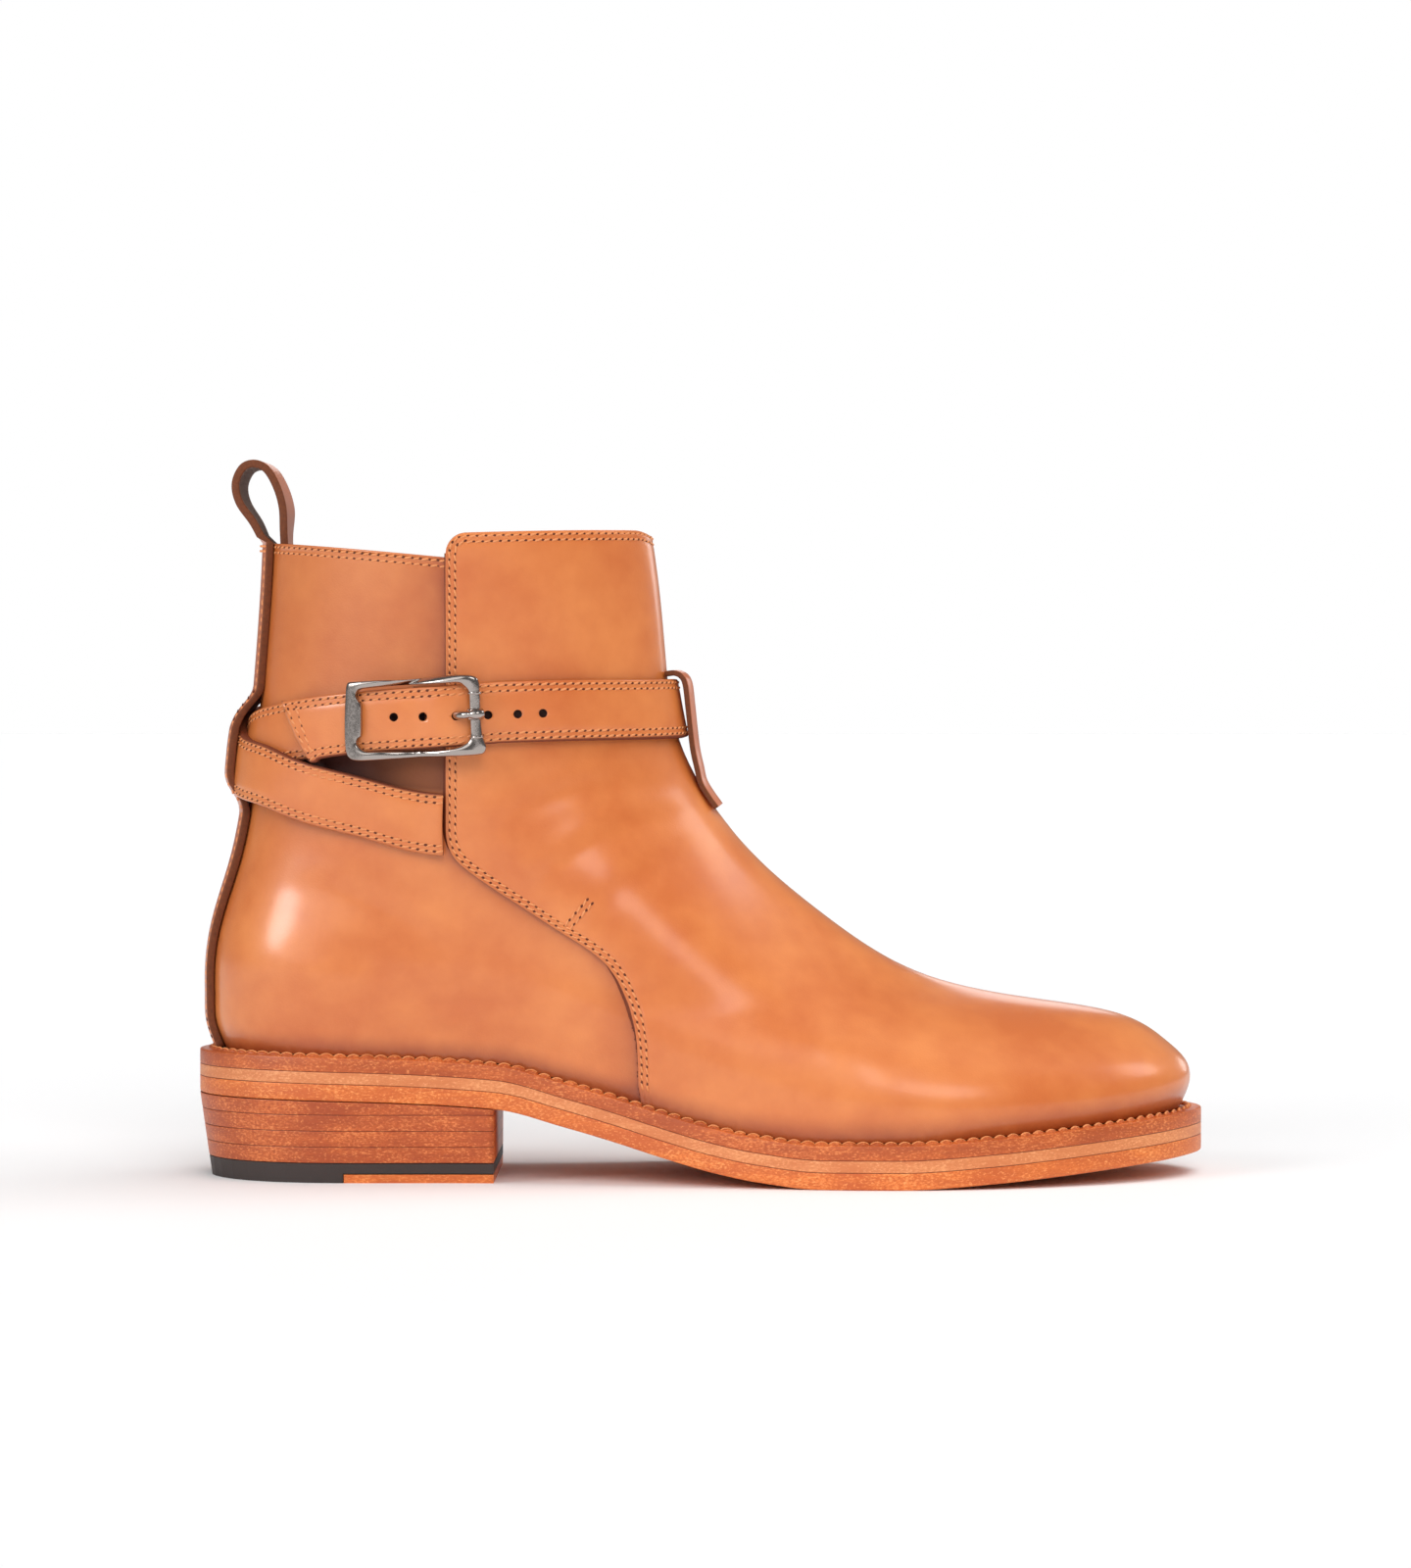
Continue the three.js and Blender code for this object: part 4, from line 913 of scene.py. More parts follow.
# Angle round the last, height of the middle, stand-off of the lower and upper edges, lead of the upper edge.
LONG_STRAP = [
    root_row(-1), (-60, -0.72, 0, 0.3, -1), (-45, -0.53, 0.5, 1.15, 0), (-30, -0.31, 0.95, 1.1, 0),
    (-12, -0.17, 1, 1, 0), (12, 0.34, 1, 1, 0), (30, 0.5, 1.1, 0.95, 0), (45, 0.58, 1.15, 0.5, 0),
    (60, 0.72, 0.3, 0, 0), (80, 0.84, 0, 0, 0), (110, 0.94, 0, 0, 0), (150, 1, 0, 0, 0), (230, 0.99, 0, 0, 0),
    (buckle_angle + 336, 0.96, 0, 0, 0), (buckle_angle + 342, 0.93, 0.15, 0.15, 0),
    (buckle_angle + 349, 0.89, 0.72, 0.72, 0), (buckle_angle + 360, 0.83, 1, 1, 0),
    (buckle_angle + 375, 0.74, 1.05, 1.05, 0), (buckle_angle + 388, 0.62, 1.1, 1.1, 3),
    (buckle_angle + 396, 0.52, 1.1, 1.1, 12),
]
SHORT_STRAP = [
    root_row(1), (60, -0.72, 0, 0, 1), (45, -0.53, 0, 0, 0), (30, -0.31, 0, 0, 0), (12, -0.17, 0, 0, 0),
    (-12, 0.28, 0, 0, 0), (-30, 0.46, 0, 0, 0), (-45, 0.58, 0, 0, 0), (-60, 0.72, 0, 0, 0),
    (buckle_angle + 4, 0.8, 0, 0, 0),
]


def fanned_faces(rows, count):
    """Faces of rings of points, closed by fans to two end points that follow them."""
    faces = grid_faces(rows, count, round_columns=True).tolist()
    tail = rows * count
    for k in range(count):
        following = (k + 1) % count
        faces.append((tail, following, k))
        faces.append((tail + 1, tail - count + k, tail - count + following))
    return faces


def tube_faces(rows, count):
    """Faces of rings of points, with one flat face across each end."""
    faces = grid_faces(rows, count, round_columns=True).tolist()
    tail = (rows - 1) * count
    return faces + [tuple(range(count - 1, -1, -1)), tuple(range(tail, tail + count))]


class Strap:
    """A strap swept along its rows; place() gives a point by station, across (-1 to 1) and depth."""

    def __init__(self, rows):
        rows = np.array(rows, float)
        self.way = np.sign(rows[1, 0] - rows[0, 0])
        station = self.way * rows[:, 0]
        self.start, self.end = station[0], station[-1]
        curves = [steady(np.column_stack([station, column])) for column in rows[:, 1:].T]
        self.middle, self.low, self.high, self.lead = curves

    def place(self, station, across, depth):
        station, across, depth = np.broadcast_arrays(*map(as_numbers, (station, across, depth)))
        height = strap_middle(self.middle(station)) + across * STRAP_WIDTH / 2
        angle = self.way * station + across * self.lead(station) / 2
        stand = self.low(station) + (self.high(station) - self.low(station)) * (across + 1) / 2
        level = level_at(angle, height)
        bed = strap_bed(last_point(angle, level)[..., 0]) + stand * (STRAP_THICKNESS + SEAM)
        thin = smooth_step(station, self.start - ROOT_TAPER, self.start + ROOT_TAPER)
        return beside_last(angle, level, bed + depth * STRAP_THICKNESS * thin)

    def section(self):
        """Across and depth round the strap, its outer face slightly full and its corners rounded."""
        corner = STRAP_CORNER / (STRAP_WIDTH / 2)
        turns = np.radians([0, 30, 60, 90])
        outer = [(-1 + corner * (1 - math.cos(t)), 1 - 0.3 * (1 - math.sin(t))) for t in turns]
        flat = [(s, 1) for s in np.linspace(-1 + 1.6 * corner, 1 - 1.6 * corner, 23)]
        upper = [(-a, d) for a, d in outer[::-1]]
        inner = [(1, 0.15), (0.985, 0), *((s, 0) for s in np.linspace(0.9, -0.9, 7)), (-0.985, 0), (-1, 0.15)]
        return np.array(outer + flat + upper + inner)

    def mesh(self, name, step=1.0):
        section = self.section()
        stations = np.linspace(self.start, self.end, int((self.end - self.start) / step) + 1)
        across, depth = section[:, 0], section[:, 1]
        rim = (1 - np.abs(across)) * STRAP_WIDTH / 2
        sunk = np.where(depth > 0.9, groove(rim) / STRAP_THICKNESS, 0)
        full = np.where(depth > 0.9, STRAP_FULLNESS * (1 - across**2), 0)
        points = self.place(stations[:, None], across[None, :], (depth - sunk + full)[None, :])
        ends = np.stack([points[0].mean(0), points[-1].mean(0)])
        count = len(section)
        faces = fanned_faces(len(stations), count)
        painted = np.where(stations < 0, across[:, None], -across[:, None]).T > 0
        raw = (rim < np.where(painted, 0.62, 0.3)) * np.where(painted, 1, depth < 0.85)
        raw = np.concatenate([raw.ravel(), [1, 1]])
        burnish_and_shade = np.broadcast_to(0.3 * np.exp(-rim / 0.8), (len(stations), count)).ravel()
        shape = np.concatenate([points.reshape(-1, 3), ends])
        masks = {"burnish_and_shade": np.concatenate([burnish_and_shade, [0, 0]]), "raw": raw}
        return make_piece(name, shape, faces, calf, masks)


long_strap, short_strap = Strap(LONG_STRAP), Strap(SHORT_STRAP)


def strap_row(strap, station, across):
    """Row on a strap's outer face, from its outward side."""
    depth = 1 + STRAP_FULLNESS * (1 - across**2) - GROOVE_DEPTH / STRAP_THICKNESS
    points = strap.place(station, across, depth)
    out = points - strap.place(station, across, depth - 0.5)
    return points, out / np.linalg.norm(out, axis=-1, keepdims=True)


def strap_rows(strap, first, last):
    rows = []
    for inside in GROOVES:
        across = 1 - inside / (STRAP_WIDTH / 2)
        station = np.linspace(first, last - inside, 220)
        rows += [strap_row(strap, station, np.full(220, s * across)) for s in (-1, 1)]
    return rows


rows = strap_rows(long_strap, long_strap.start + 0.8, long_strap.end - 1)
for inside in GROOVES:
    across = np.linspace(-1, 1, 24) * (1 - GROOVES[1] / (STRAP_WIDTH / 2) * 1.3)
    rows.append(strap_row(long_strap, np.full(24, long_strap.end - 1.3 * inside), across))
stitch("long_strap", rows, "upper_leather")
stitch("short_strap", strap_rows(short_strap, short_strap.start + 0.8, short_strap.end - 1), "upper_leather")

BUCKLE_SHARE, BUCKLE_SLOPE = 0.83, 0.075
one_degree = at_height(buckle_angle - 1, STRAP_HEIGHT, 0) - at_height(buckle_angle, STRAP_HEIGHT, 0)
buckle_stretch = 1 / one_degree[0]


def at_buckle(ahead, above, out):
    ahead, above, out = np.broadcast_arrays(*map(as_numbers, (ahead, above, out)))
    height = strap_middle(np.array(BUCKLE_SHARE)) + BUCKLE_SLOPE * ahead + above
    return at_height(buckle_angle - buckle_stretch * ahead, height, out)


STRAP_TOP = STRAP_CLEARANCE + 2 * STRAP_THICKNESS + SEAM
# Holes: how far ahead of the buckle's middle; the third one takes the prong.
HOLES_AHEAD = (-5.6, 2.7, 11.9, 20.7, 29.1, 36.4)
HOLE_SIDES, HOLE_ABOVE, HOLE_SLOPE, HOLE_DEPTH, HOLE_REACH = 18, 0.5, 0.053, 2.3, 4


def punch(piece, ahead, radius):
    """Cuts a round hole through a strap near the buckle."""
    depths = np.array([STRAP_TOP - HOLE_DEPTH, STRAP_TOP + HOLE_REACH])
    ends = at_buckle(ahead, HOLE_ABOVE - HOLE_SLOPE * ahead, depths)
    run = ends[1] - ends[0]
    run /= np.linalg.norm(run)
    side = np.cross(run, (0, 0, 1))
    side /= np.linalg.norm(side)
    up = np.cross(run, side)
    turn = np.linspace(0, 2 * math.pi, HOLE_SIDES + 1)[:-1]
    ring = np.cos(turn)[:, None] * side + np.sin(turn)[:, None] * up
    points = np.concatenate([ends[0] + radius * ring, ends[1] + radius * ring])
    cutter = make_piece("hole_cutter", points, tube_faces(2, HOLE_SIDES), hole_shade)
    cut = piece.modifiers.new("hole", "BOOLEAN")
    cut.operation, cut.object, cut.solver, cut.material_mode = "DIFFERENCE", cutter, "EXACT", "TRANSFER"
    mesh = bpy.data.meshes.new_from_object(piece.evaluated_get(bpy.context.evaluated_depsgraph_get()))
    piece.modifiers.clear()
    piece.data = mesh
    bpy.data.objects.remove(cutter)


hole_shade = Finish("hole_shade", Base_Color=tint(38, 12, 6), Roughness=0.9).material
ankle_strap = long_strap.mesh("long_strap")
for ahead in HOLES_AHEAD:
    punch(ankle_strap, ahead, HOLE_DIAMETER / 2)
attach(ankle_strap, "root")
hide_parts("ankle_strap")
buckle_strap = short_strap.mesh("short_strap")
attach(buckle_strap, "root")
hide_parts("buckle_strap")

# Buckle: cast steel, tumbled dull. A rounded frame with a wide plain bar behind and thick ears in front, over a
# thin bar that the short strap is folded round; the prong lies on the front bar.
BUCKLE_LENGTH, BUCKLE_BAR, CENTRE_BAR = 40.4, 3, 2.2


def steel_finish(name):
    f = Finish(name, Metallic=1.0)
    wear = f.noise(0.7, 4, rough=0.7)
    dull = f.mask("burnish_and_shade")
    worn = dull * f.ramp(wear, (0.42, 0.4), (0.6, 1))
    f.give("Base Color", f.blend(worn, (0.42, 0.375, 0.35, 1), (0.15, 0.135, 0.125, 1)))
    f.give("Roughness", 0.12 + 0.05 * wear + 0.14 * dull)
    f.give("Normal", f.relief(wear, 0.012))
    return f.material


steel = steel_finish("tumbled_steel")
# Outline and opening of the frame: ahead of its middle and above it.
OUTER_LINE = [
    (-19.6, 3), (-19.5, 8), (-19.3, 10.9), (-18.6, 12), (-17, 12.1), (-13.5, 12.1), (-8.8, 12), (-2.4, 11.7),
    (4, 11.9), (8.7, 12.1), (13.2, 12.1), (16.2, 11.7), (17.9, 10.8), (18.5, 9.1), (18.6, 6.8), (18.7, 4.8),
    (18.7, 2.8), (18.7, -0.6), (18.7, -3.9), (18.9, -7.2), (19.4, -9.6), (19, -11.3), (17.8, -12.1), (13.5, -12.2),
    (7.1, -11.9), (2.4, -11.7), (-5.6, -11.6), (-11.9, -11.6), (-16.1, -11.4), (-18.2, -10.6), (-19.2, -8.9),
    (-19.5, -6), (-19.6, -1.7),
]
INNER_LINE = [
    (-14.5, 2.6), (-14.6, 5), (-15.4, 6.2), (-16.1, 7.8), (-15.9, 9), (-14.8, 9.7), (-11.9, 9.9), (-6.8, 10.1),
    (-0.8, 10.1), (4, 10), (8.7, 9.9), (12.6, 9.8), (14.2, 8.8), (15.2, 7.6), (15.6, 6.5), (15.7, 5.1), (15.7, 3.1),
    (15.7, -0.3), (15.7, -3.6), (15.5, -6.3), (14.8, -7.9), (13.5, -8.8), (11.9, -9.4), (10, -9.8), (7.1, -9.9),
    (2.4, -9.8), (-5.6, -9.3), (-10.3, -9), (-13.5, -8.7), (-15.3, -7.3), (-15.9, -5.9), (-15.4, -4.8), (-14.6, -3.7),
]


def between(a, b, c, d, f):
    """Point at the share f of the way from b to c, on a smooth line that also passes a and d."""
    m0, m1 = (c - a) / 2, (d - b) / 2
    return (2 * f**3 - 3 * f**2 + 1) * b + (f**3 - 2 * f**2 + f) * m0 + (3 * f**2 - 2 * f**3) * c + (f**3 - f**2) * m1


def closed_line(points, count):
    """Smooth closed line through points, evenly divided between them."""
    points = np.array(points, float)
    n = len(points)
    t = np.linspace(0, n, count, endpoint=False)
    i, f = np.floor(t).astype(int), (t % 1)[:, None]
    return between(*(points[(i + k) % n] for k in (-1, 0, 1, 2)), f)


BUCKLE_STATIONS, BAR_SIDES, BAR_SQUARENESS, BAR_DIP, BAR_FLATTENING = 231, 20, 0.62, 0.75, 0.95
outer_line, inner_line = (closed_line(line, BUCKLE_STATIONS) for line in (OUTER_LINE, INNER_LINE))
middle, half = (outer_line + inner_line) / 2, (outer_line - inner_line) / 2
half_length = (BUCKLE_LENGTH - BUCKLE_BAR) / 2
over = STRAP_TOP + SEAM + BUCKLE_BAR / 2
bar_out = CENTRE_BAR / 2 + 2 * SEAM
dip = (1 - np.clip(np.abs(middle[:, 0]) / (half_length - BUCKLE_BAR), 0, 1)) ** 2
bar_turns = np.radians(np.linspace(0, 360, BAR_SIDES + 1)[:-1])
rings = []
for turn in bar_turns:
    c, s = math.cos(turn), math.sin(turn)
    wide, high = (abs(v) ** BAR_SQUARENESS * np.sign(v) for v in (c, s))
    ahead, above = (middle + half * wide).T
    out = over - BAR_DIP * dip * (over - bar_out) + high * BUCKLE_BAR / 2 * BAR_FLATTENING
    rings.append(at_buckle(ahead, above, out))
points = np.array(rings)
dull = np.broadcast_to(smooth_step(-outer_line[:, 0], 14, 18), points.shape[:2]) * 0.9
dull = dull * (np.abs(np.sin(bar_turns))[:, None] ** 2)
faces = grid_faces(BAR_SIDES, BUCKLE_STATIONS, round_rows=True, round_columns=True)
buckle = make_piece("buckle", points, faces, steel, {"burnish_and_shade": dull})
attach(buckle, "root")
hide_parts("buckle_frame")


def rod(points, radii, sides=14):
    """Round bar through points with a radius at each, closed at both ends."""
    points, radii = np.asarray(points, float), np.asarray(radii, float)
    run = np.gradient(points, axis=0)
    run /= np.linalg.norm(run, axis=1, keepdims=True)
    across = np.cross((0.0, -1.0, 0.0), run)
    across /= np.linalg.norm(across, axis=1, keepdims=True)
    out = np.cross(run, across)
    turn = np.linspace(0, 2 * math.pi, sides + 1)[:-1]
    ring = np.cos(turn)[:, None, None] * across + np.sin(turn)[:, None, None] * out
    shape = (points + ring * radii[:, None]).transpose(1, 0, 2)
    return np.concatenate([shape.reshape(-1, 3), points[:1], points[-1:]]), fanned_faces(len(points), sides)


centre = at_buckle(0, np.linspace(-9.4, 9.4, 15), bar_out)
points, faces = rod(centre, [CENTRE_BAR / 2] * 15)
centre_bar = make_piece("centre_bar", points, faces, steel, {"burnish_and_shade": np.zeros(len(points))})
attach(centre_bar, "root")
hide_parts("buckle_frame")

# Collars at both ends of the front bar, and the ring of the prong round it: along the bar, half length, radius.
for name, along, half, radius, node in (
    ("upper_collar", 6.3, 0.4, 2.25, "buckle_frame"), ("lower_collar", -6.9, 0.4, 2.25, "buckle_frame"),
    ("prong_ring", 0.0, 1.8, 2.5, "buckle_prong"),
):
    line = at_buckle(17.2, along + half * np.array([-1, -0.92, -0.7, 0, 0.7, 0.92, 1]), over)
    points, faces = rod(line, radius * np.array([0.72, 0.92, 1, 1, 1, 0.92, 0.72]), 22)
    ring = make_piece(name, points, faces, steel, {"burnish_and_shade": np.zeros(len(points))})
    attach(ring, "root")
    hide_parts(node)

PRONG = [
    # ahead of the buckle's middle, distance out, radius
    (1.4, bar_out, 0.9), (6.8, 2.6, 0.9), (9.6, 2.9, 0.9), (10.8, 3.8, 1.0), (11.4, 5.4, 1.15), (12.4, 7.5, 1.25),
    (13.6, 9.0, 1.2), (14.8, 9.8, 1.1), (15.5, 10.0, 0.85), (16.1, 10.1, 1.3), (17.2, 10.2, 1.6), (18.4, 9.9, 1.65),
    (19.2, 9.2, 1.3),
]
prong_line = np.array(PRONG)
steps = np.linspace(0, 1, 60)
columns = [np.interp(steps, np.linspace(0, 1, len(PRONG)), prong_line[:, i]) for i in range(3)]
kernel = np.hanning(9) / np.hanning(9).sum()
columns = [np.convolve(np.pad(c, 4, mode="edge"), kernel, mode="valid") for c in columns]
columns[2][-1] = 0.5
points, faces = rod(at_buckle(columns[0], 0, columns[1]), columns[2])
prong = make_piece("prong", points, faces, steel, {"burnish_and_shade": np.zeros(len(points))})
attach(prong, "root")
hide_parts("buckle_prong")

# Back strip: one leather strip sewn up the back, over the crossing straps, and looped above the collar.
STRIP_WIDTH, STRIP_THICKNESS, LOOP_HEIGHT, LOOP_DEPTH, LOOP_TWIST = 18, 2.4, 26, 17.7, 0.06
strip_leather = leather("strip_leather", (196, 104, 60), (208, 118, 72), (110, 55, 38), (132, 66, 28), 0.4)
flesh = Finish("flesh_side", Roughness=0.85)
flesh.give("Base Color", flesh.blend(flesh.noise(1.2, 4), tint(146, 116, 102), tint(108, 82, 72)))
flesh.give("Normal", flesh.relief(flesh.noise(0.5, 3), 0.2))
flesh_side = flesh.material
TUNNEL = steady([
    (-1.0, 0), (-0.9, 0.04), (-0.78, 0.18), (-0.66, 0.45), (-0.56, 0.7), (-0.45, 0.88), (-0.3, 0.98), (0.1, 1),
    (0.4, 0.97), (0.6, 0.82), (0.76, 0.58), (0.9, 0.3), (1.02, 0.1), (1.14, 0),
])
LOOP_LINE = [(-0.25, 0.235), (-0.49, 0.47), (-0.56, 0.69), (-0.44, 0.88), (-0.23, 0.93), (-0.02, 0.86),
             (0.15, 0.66), (0.25, 0.42), (0.27, 0.14), (0.29, -0.13), (0.31, -0.48)]


def strip_section(width, thickness):
    """Half width and depth round a strip with rounded edges, from its inner face outwards."""
    r = 0.45
    corner = [(r * math.cos(t), r * math.sin(t)) for t in np.radians([0, 30, 60, 90])]
    half = width / 2
    outer = [(s, thickness) for s in np.linspace(-half + 1.3, half - 1.3, 13)]
    right_top = [(half - r + c, thickness - r + s) for c, s in corner[::-1]]
    right_low = [(half - r + c, r - s) for c, s in corner]
    inner = [(s, 0) for s in np.linspace(half - 1.3, -half + 1.3, 9)]
    left_low = [(-half + r - c, r - s) for c, s in corner[::-1]]
    left_top = [(-half + r - c, thickness - r + s) for c, s in corner]
    return np.array(outer + right_top + right_low + inner + left_low + left_top)


def spline_line(points, count):
    """Smooth open line through points."""
    points = np.array(points, float)
    n = len(points) - 1
    padded = np.vstack([2 * points[0] - points[1], points, 2 * points[-1] - points[-2]])
    t = np.linspace(0, n, count)
    i = np.clip(np.floor(t).astype(int), 0, n - 1)
    f = (t - i)[:, None]
    return between(*(padded[i + k] for k in range(4)), f)


section = strip_section(STRIP_WIDTH, STRIP_THICKNESS)
foot_height = float(welt_top(np.array(FEATHER_REAR))) + 1.2
heights = np.linspace(foot_height, COLLAR, 130)
tunnel = 2 * (STRAP_THICKNESS + SEAM) + STRAP_CLEARANCE
out = SEAM + tunnel * TUNNEL((heights - CROSS_HEIGHT) / STRAP_WIDTH)
lateral = np.broadcast_to(section[:, 0], (len(heights), len(section)))


def across_strip(angle):
    return at_height(angle, heights[:, None], out[:, None] + 0 * angle)[..., 1]


angle = solve(across_strip, lateral, np.full(lateral.shape, -60.0), 60)
body = at_height(angle, heights[:, None] + 0 * angle, out[:, None] + section[:, 1][None, :])
start = at_height(0.0, COLLAR, SEAM)
line = [(start[0] - STRIP_THICKNESS / 2, start[2])]
line += [(start[0] + d * LOOP_DEPTH, start[2] + r * LOOP_HEIGHT) for d, r in LOOP_LINE]
line = spline_line(line, 90)[3:]
run = np.gradient(line, axis=0)
run /= np.linalg.norm(run, axis=1, keepdims=True)
depth = section[:, 1] - STRIP_THICKNESS / 2
loop = np.stack([
    line[:, :1] - depth * run[:, 1:],
    np.broadcast_to(section[:, 0], (len(line), len(section))),
    line[:, 1:] + depth * run[:, :1],
], -1)
loop[..., 0] += LOOP_TWIST * (loop[..., 1] + STRIP_WIDTH / 2) * smooth_step(line[:, 1] - COLLAR, 0, 12)[:, None]
points = np.concatenate([body, loop])
faces = tube_faces(len(points), len(section))
rim = STRIP_WIDTH / 2 - np.abs(section[:, 0])
raw = np.broadcast_to(np.where(rim < 0.35, 1.0, 0.0), points.shape[:2]).copy()
burnish_and_shade = np.broadcast_to(np.where(section[:, 1] < 0.1, 0.75, 0.25 * np.exp(-rim)), points.shape[:2])
inner_face = (np.abs(section[:, 1]) < 0.01) & (np.abs(np.roll(section[:, 1], -1)) < 0.01)
flesh_faces = np.concatenate([np.tile(inner_face, len(points) - 1), [False, False]])
back_strip = make_piece(
    "back_strip", points, faces, strip_leather, {"burnish_and_shade": burnish_and_shade, "raw": raw}, flesh_side, flesh_faces
)
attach(back_strip, "root")
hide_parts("back_strip")

STRIP_SEAM, STRIP_THREAD_SINK = 1.9, 0.28
rows = []
core = at_height(0.0, heights[2:-2], out[2:-2] - 1.0)
for side in (-1, 1):
    edge = int(np.argmin(np.abs(section[:, 0] - side * (STRIP_WIDTH / 2 - STRIP_SEAM)) - section[:, 1]))
    row = body[2:-2, edge] + (STRIP_THREAD_SINK, 0, 0)
    away = (row - core) * (1, 0, 1)
    rows.append((row, away / np.linalg.norm(away, axis=1, keepdims=True)))
stitch("strip", rows, "strip_leather")
for lift in (1.1, 2.6):
    wrap = at_height(0.0, COLLAR - lift, SEAM + STRIP_THICKNESS * np.linspace(0.05, 0.92, 7))
    wrap[:, 1] = -STRIP_WIDTH / 2 - 0.1 + 0.3 * np.linspace(-1, 1, 7) ** 4
    points, faces = rod(wrap, [THREAD_RADIUS] * 7)
    tie = make_piece(f"strip_tie_{int(lift)}", points, faces, thread)
    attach(tie, "root")

# Front keeper: a thinner strip with its upper end sewn down, standing off over the strap, its tail on the instep.
KEEPER_WIDTH, KEEPER_THICKNESS, KEEPER_STANDOFF = 16, 1.6, 6
# Height above the strap's middle in strap widths, and stand-off as a share of the largest.
KEEPER_LINE = [(0.6, 0.05), (0.6, 0.5), (0.53, 0.84), (0.38, 1), (0, 0.97), (-0.4, 0.82), (-0.76, 0.58),
               (-1.05, 0.38), (-1.25, 0.2), (-1.46, 0.19), (-1.68, 0.22)]
rise, stand = np.array(KEEPER_LINE).T
stand_off = PANEL_STEP + SEAM + stand * KEEPER_STANDOFF + KEEPER_THICKNESS / 4
middle = at_height(180.0, STRAP_HEIGHT + rise * STRAP_WIDTH, stand_off)
line = spline_line(middle[:, [0, 2]], 90)
run = np.gradient(line, axis=0)
run /= np.linalg.norm(run, axis=1, keepdims=True)
section = strip_section(KEEPER_WIDTH, KEEPER_THICKNESS)
depth = section[:, 1] - KEEPER_THICKNESS / 2
heights = line[:, 1]
rear = -(at_height(180.0, heights, 1.0) - at_height(180.0, heights, 0.0))[:, [0, 2]]
bend = section[:, 0] ** 2 / BALL_WIDTH / 0.4
x = line[:, :1] + depth * run[:, 1:] + bend * rear[:, :1]
z = line[:, 1:] - depth * run[:, :1] + bend * rear[:, 1:]
points = np.stack([x, np.broadcast_to(section[:, 0], x.shape), z], -1)
faces = tube_faces(len(points), len(section))
rim = KEEPER_WIDTH / 2 - np.abs(section[:, 0])
raw = np.broadcast_to(np.where(rim < 0.35, 1.0, 0.0), points.shape[:2])
burnish_and_shade = np.broadcast_to(0.25 * np.exp(-rim), points.shape[:2])
keeper = make_piece("keeper", points, faces, strip_leather, {"burnish_and_shade": burnish_and_shade, "raw": raw})
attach(keeper, "root")
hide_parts("front_keeper")

# Sole: outsole, midsole and welt, stacked leather with trimmed and waxed edges.
SOLE_COLUMNS = 170


def outline_at(angle, side, outset):
    here = last_point(side * angle, 0.0)
    run = last_point(side * angle + 0.5, 0.0) - last_point(side * angle - 0.5, 0.0)
    run[..., 2] = 0
    run /= np.linalg.norm(run, axis=-1, keepdims=True)
    return here[..., 0] - outset(angle) * run[..., 1], here[..., 1] + outset(angle) * run[..., 0]


def outline_ring(shares, outset, height, end=None):
    """Closed ring round the sole with a point on each side at every share of its length."""
    first = FEATHER_REAR - float(outset(np.array(0.0)))
    last = FEATHER_REAR + FEATHER_LENGTH + float(outset(np.array(180.0)))
    last = last if end is None else min(last, end)
    x = first + (last - first) * shares
    sides = []
    for side in (-1, 1):
        angle = solve(lambda a: outline_at(a, side, outset)[0], x, np.zeros(x.shape), 180)
        sides.append(np.stack([x, outline_at(angle, side, outset)[1], height(x)], -1))
    closed = 1 if end is None else 0
    inner = sides[1][::-1]
    return np.concatenate([sides[0], inner[closed:-1]])


def inset(by):
    return lambda angle: margin(angle) - by


def raised(height, by):
    return lambda x: height(x) + by


SOLE_SHARES = (1 - np.cos(np.linspace(0, math.pi, SOLE_COLUMNS))) / 2
ROUND_EDGE = [(1.6, 0), (0.55, 0.02), (0.28, 0.12), (0.1, 0.3), (0.02, 0.6)]
SEAM_EDGE = [(1.2, -0.14), (0.16, -0.14), (0.06, -0.07), (0.01, 0.04), (0, 0.3)]


def layer_rings(bottom, thickness, low_edge, shares, outset=inset, end=None):
    """Rings of one layer, from its underside round its edge to its upper side, and their nearness to a seam."""
    profile = [(by, up, up < 0 and low_edge is SEAM_EDGE) for by, up in low_edge]
    profile += [(0, thickness / 2, 0)] + [(by, thickness - up, up < 0) for by, up in SEAM_EDGE[::-1]]
    rings = np.array([outline_ring(shares, outset(by), raised(bottom, up), end) for by, up, _ in profile])
    return rings, np.broadcast_to([[dark] for _, _, dark in profile], rings.shape[:2])


def close_ends(rings):
    """Faces of stacked rings, with the first and last ring filled across."""
    rows, count = rings.shape[:2]
    faces = grid_faces(rows, count, round_columns=True).tolist()
    top = (rows - 1) * count
    for i in range((count + 1) // 2):
        mirror = (count - i) % count
        low = [i, mirror, count - i - 1, i + 1]
        faces.append(tuple(dict.fromkeys(low)))
        faces.append(tuple(dict.fromkeys([top + k for k in low[::-1]])))
    return [face for face in faces if len(set(face)) > 2]


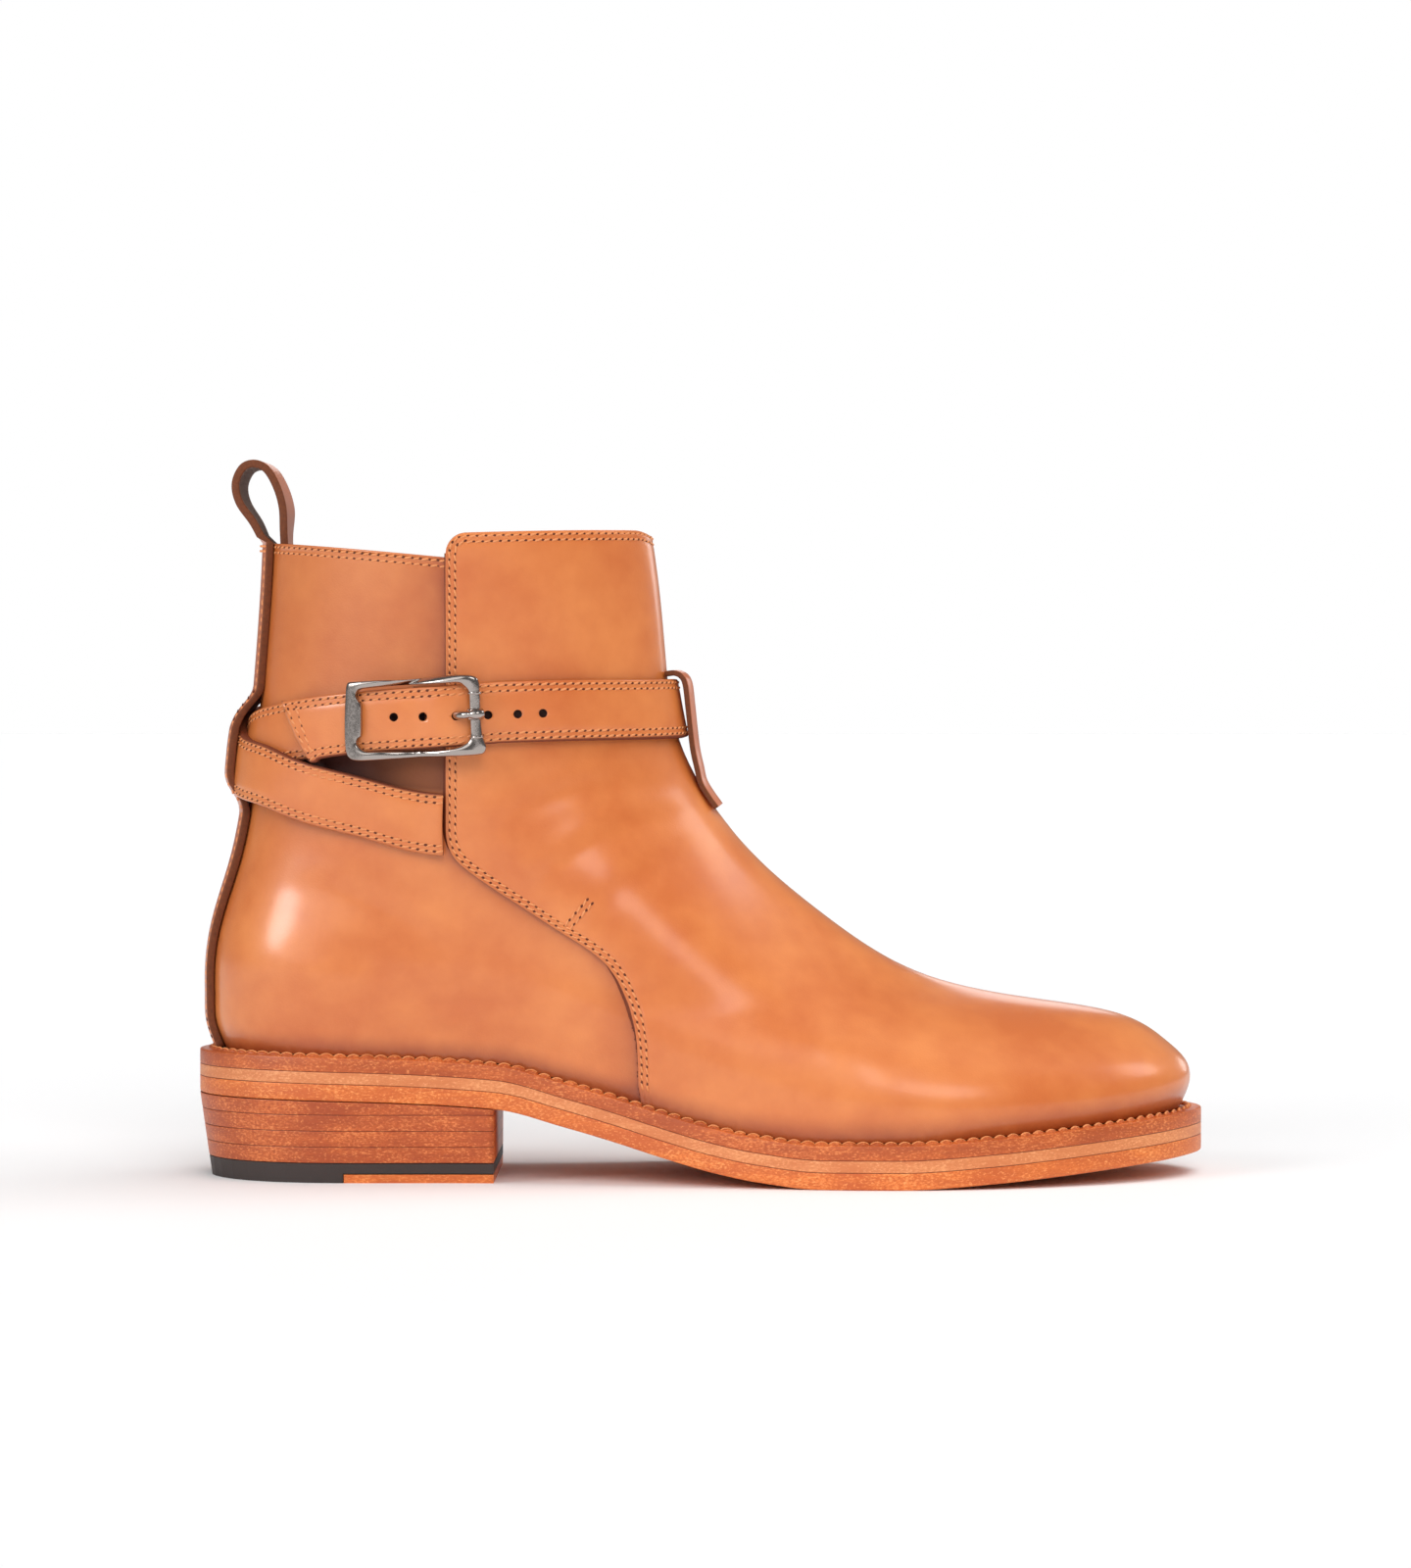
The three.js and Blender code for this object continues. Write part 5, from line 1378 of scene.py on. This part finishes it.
def edge_leather(name, base, light, dark):
    """Cut edge of sole leather: short speckled fibres lying along the layer, waxed; dark beside a seam."""
    f = Finish(name, Coat_Weight=0.15, Coat_Roughness=0.35)
    lying = f.stretched(0.5, 0.5, 1)
    speck = f.noise(0.5, 3, lying, 0.6)
    streak = f.noise(2.2, 3, f.stretched(0.12, 0.12, 1))
    cloud = f.noise(9, 3, lying)
    body = f.blend(f.ramp(streak * 0.5 + cloud * 0.5, (0.4, 0), (0.62, 1)), tint(*dark), tint(*base))
    body = f.blend(f.ramp(speck * 0.8 + cloud * 0.2, (0.52, 0), (0.68, 1)), body, tint(*light))
    body = f.blend(f.ramp(speck, (0.34, 1), (0.46, 0)), body, tint(*dark))
    body = f.blend(f.mask("burnish_and_shade") * 0.75, body, tint(126, 58, 32))
    f.give("Base Color", body)
    f.give("Roughness", 0.4 + 0.2 * speck)
    f.give("Normal", f.relief(speck, 0.1))
    return f.material


welt_edge = edge_leather("welt_edge", (206, 100, 38), (236, 144, 80), (176, 78, 28))
midsole_edge = edge_leather("midsole_edge", (228, 144, 88), (244, 168, 112), (214, 124, 70))
outsole_edge = edge_leather("outsole_edge", (232, 124, 50), (252, 166, 94), (206, 98, 38))
lift_edge = edge_leather("lift_edge", (204, 98, 38), (236, 142, 80), (174, 74, 26))

for name, bottom, thickness, low_edge, node, material, slot in (
    ("outsole", rocker, OUTSOLE_THICKNESS, ROUND_EDGE, "outsole", outsole_edge, "sole_leather"),
    ("midsole", midsole_bottom, MIDSOLE_THICKNESS, SEAM_EDGE, "midsole", midsole_edge, "midsole_leather"),
):
    rings, seams = layer_rings(bottom, thickness, low_edge, SOLE_SHARES)
    piece = make_piece(name + "_layer", rings, close_ends(rings), material, {"burnish_and_shade": seams})
    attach(piece, "root")
    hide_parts(node)



def mouth(angle):
    """The welt's inner edge lies under the wall of the upper."""
    return -WALL - SEAM + 0 * angle


profile = [(None, 0, 0)] + [(by, up, up < 0) for by, up in SEAM_EDGE] + [(0, WELT_THICKNESS / 2, 0)]
profile += [(by, WELT_THICKNESS - up, 0) for by, up in ROUND_EDGE[::-1]] + [(None, WELT_THICKNESS, 0)]
rings = np.array([
    outline_ring(SOLE_SHARES, mouth if by is None else inset(by), raised(welt_bottom, up)) for by, up, _ in profile
])
seams = np.broadcast_to([[dark] for _, _, dark in profile], rings.shape[:2])
welt = make_piece(
    "welt_strip", rings, grid_faces(*rings.shape[:2], round_rows=True, round_columns=True), welt_edge,
    {"burnish_and_shade": seams},
)
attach(welt, "root")
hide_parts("welt")

# Welt seam: thick lock stitches round the welt, each in a notch pressed by a hot wheel.
WELT_PITCH, WELT_STITCH, PAD_RADIUS, WELT_THREAD = 4.1, 3.5, 1.0, 0.4
seam_angles = np.linspace(-180, 180, 400)
seam_out = 0.5 * margin(seam_angles)
here = last_point(seam_angles, 0.0)
ahead = last_point(seam_angles + 0.5, 0.0) - last_point(seam_angles - 0.5, 0.0)
ahead[:, 2] = 0
ahead /= np.linalg.norm(ahead, axis=1, keepdims=True)
seam = np.column_stack([here[:, 0] - seam_out * ahead[:, 1], here[:, 1] + seam_out * ahead[:, 0], here[:, 2]])
seam[:, 2] = welt_top(seam[:, 0])
up = np.tile((0.0, 0.0, 1.0), (400, 1))
sew("welt_notches", [(seam - (0, 0, 0.66), up)], thread_tree, welt_edge, "sole_leather",
    Pitch=WELT_PITCH, Length=WELT_STITCH, Radius=PAD_RADIUS, Sink=0.35)
sew("welt_thread", [(seam + (0, 0, 0.42), up)], thread_tree, thread, "sole_leather",
    Pitch=WELT_PITCH, Length=WELT_STITCH, Radius=WELT_THREAD, Sink=0.5)

# Heel: four stacked leather lifts, the top one a wedge, over a rubber toplift with a leather insert in front.
HEEL_LENGTH, HEEL_TAPER, TOPLIFT_THICKNESS, LIFT_THICKNESS, LIFT_COUNT = 91.6, 3.6, 5.9, 4.87, 3
HEEL_SHARES = 1 - np.cos(np.linspace(0, math.pi / 2, 70))


def level_height(value):
    return lambda x: value + 0 * x


def lift_rings(bottom, top):
    """Rings of a lift, drawn in towards the floor, and their nearness to a seam."""
    rings = []
    heights = [raised(bottom, up) for _, up in SEAM_EDGE] + [lambda x: (bottom(x) + top(x)) / 2]
    heights += [raised(top, -up) for _, up in SEAM_EDGE[::-1]]
    insets = [by for by, _ in SEAM_EDGE] + [0] + [by for by, _ in SEAM_EDGE[::-1]]
    for by, height in zip(insets, heights):
        taper = HEEL_TAPER * (1 - float(height(np.array(0.0))) / HEEL_HEIGHT)
        rings.append(outline_ring(HEEL_SHARES, inset(taper + by), height, HEEL_LENGTH))
    rings = np.array(rings)
    near = [up < 0 for _, up in SEAM_EDGE]
    return rings, np.broadcast_to(np.array([near + [False] + near[::-1]], float).T, rings.shape[:2])


lift_names = [f"heel_lift_{LIFT_COUNT + 1 - i}" for i in range(LIFT_COUNT + 1)]
for i, name in enumerate(lift_names):
    low = TOPLIFT_THICKNESS + LIFT_THICKNESS * i + SEAM
    top = raised(rocker, -SEAM) if i == LIFT_COUNT else level_height(low + LIFT_THICKNESS - SEAM)
    rings, seams = lift_rings(level_height(low), top)
    piece = make_piece(name + "_edge", rings, close_ends(rings), lift_edge, {"burnish_and_shade": seams})
    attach(piece, "root")
    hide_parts(name)

rubber = Finish("black_rubber", Base_Color=tint(58, 47, 44), Roughness=0.6)
rubber.give("Normal", rubber.relief(rubber.noise(0.7, 4), 0.06))
for node, material in (
    ("toplift_rubber", rubber.material), ("toplift_leather", outsole_edge), ("insole", lining_leather),
):
    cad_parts[node].data.materials.clear()
    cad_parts[node].data.materials.append(material)
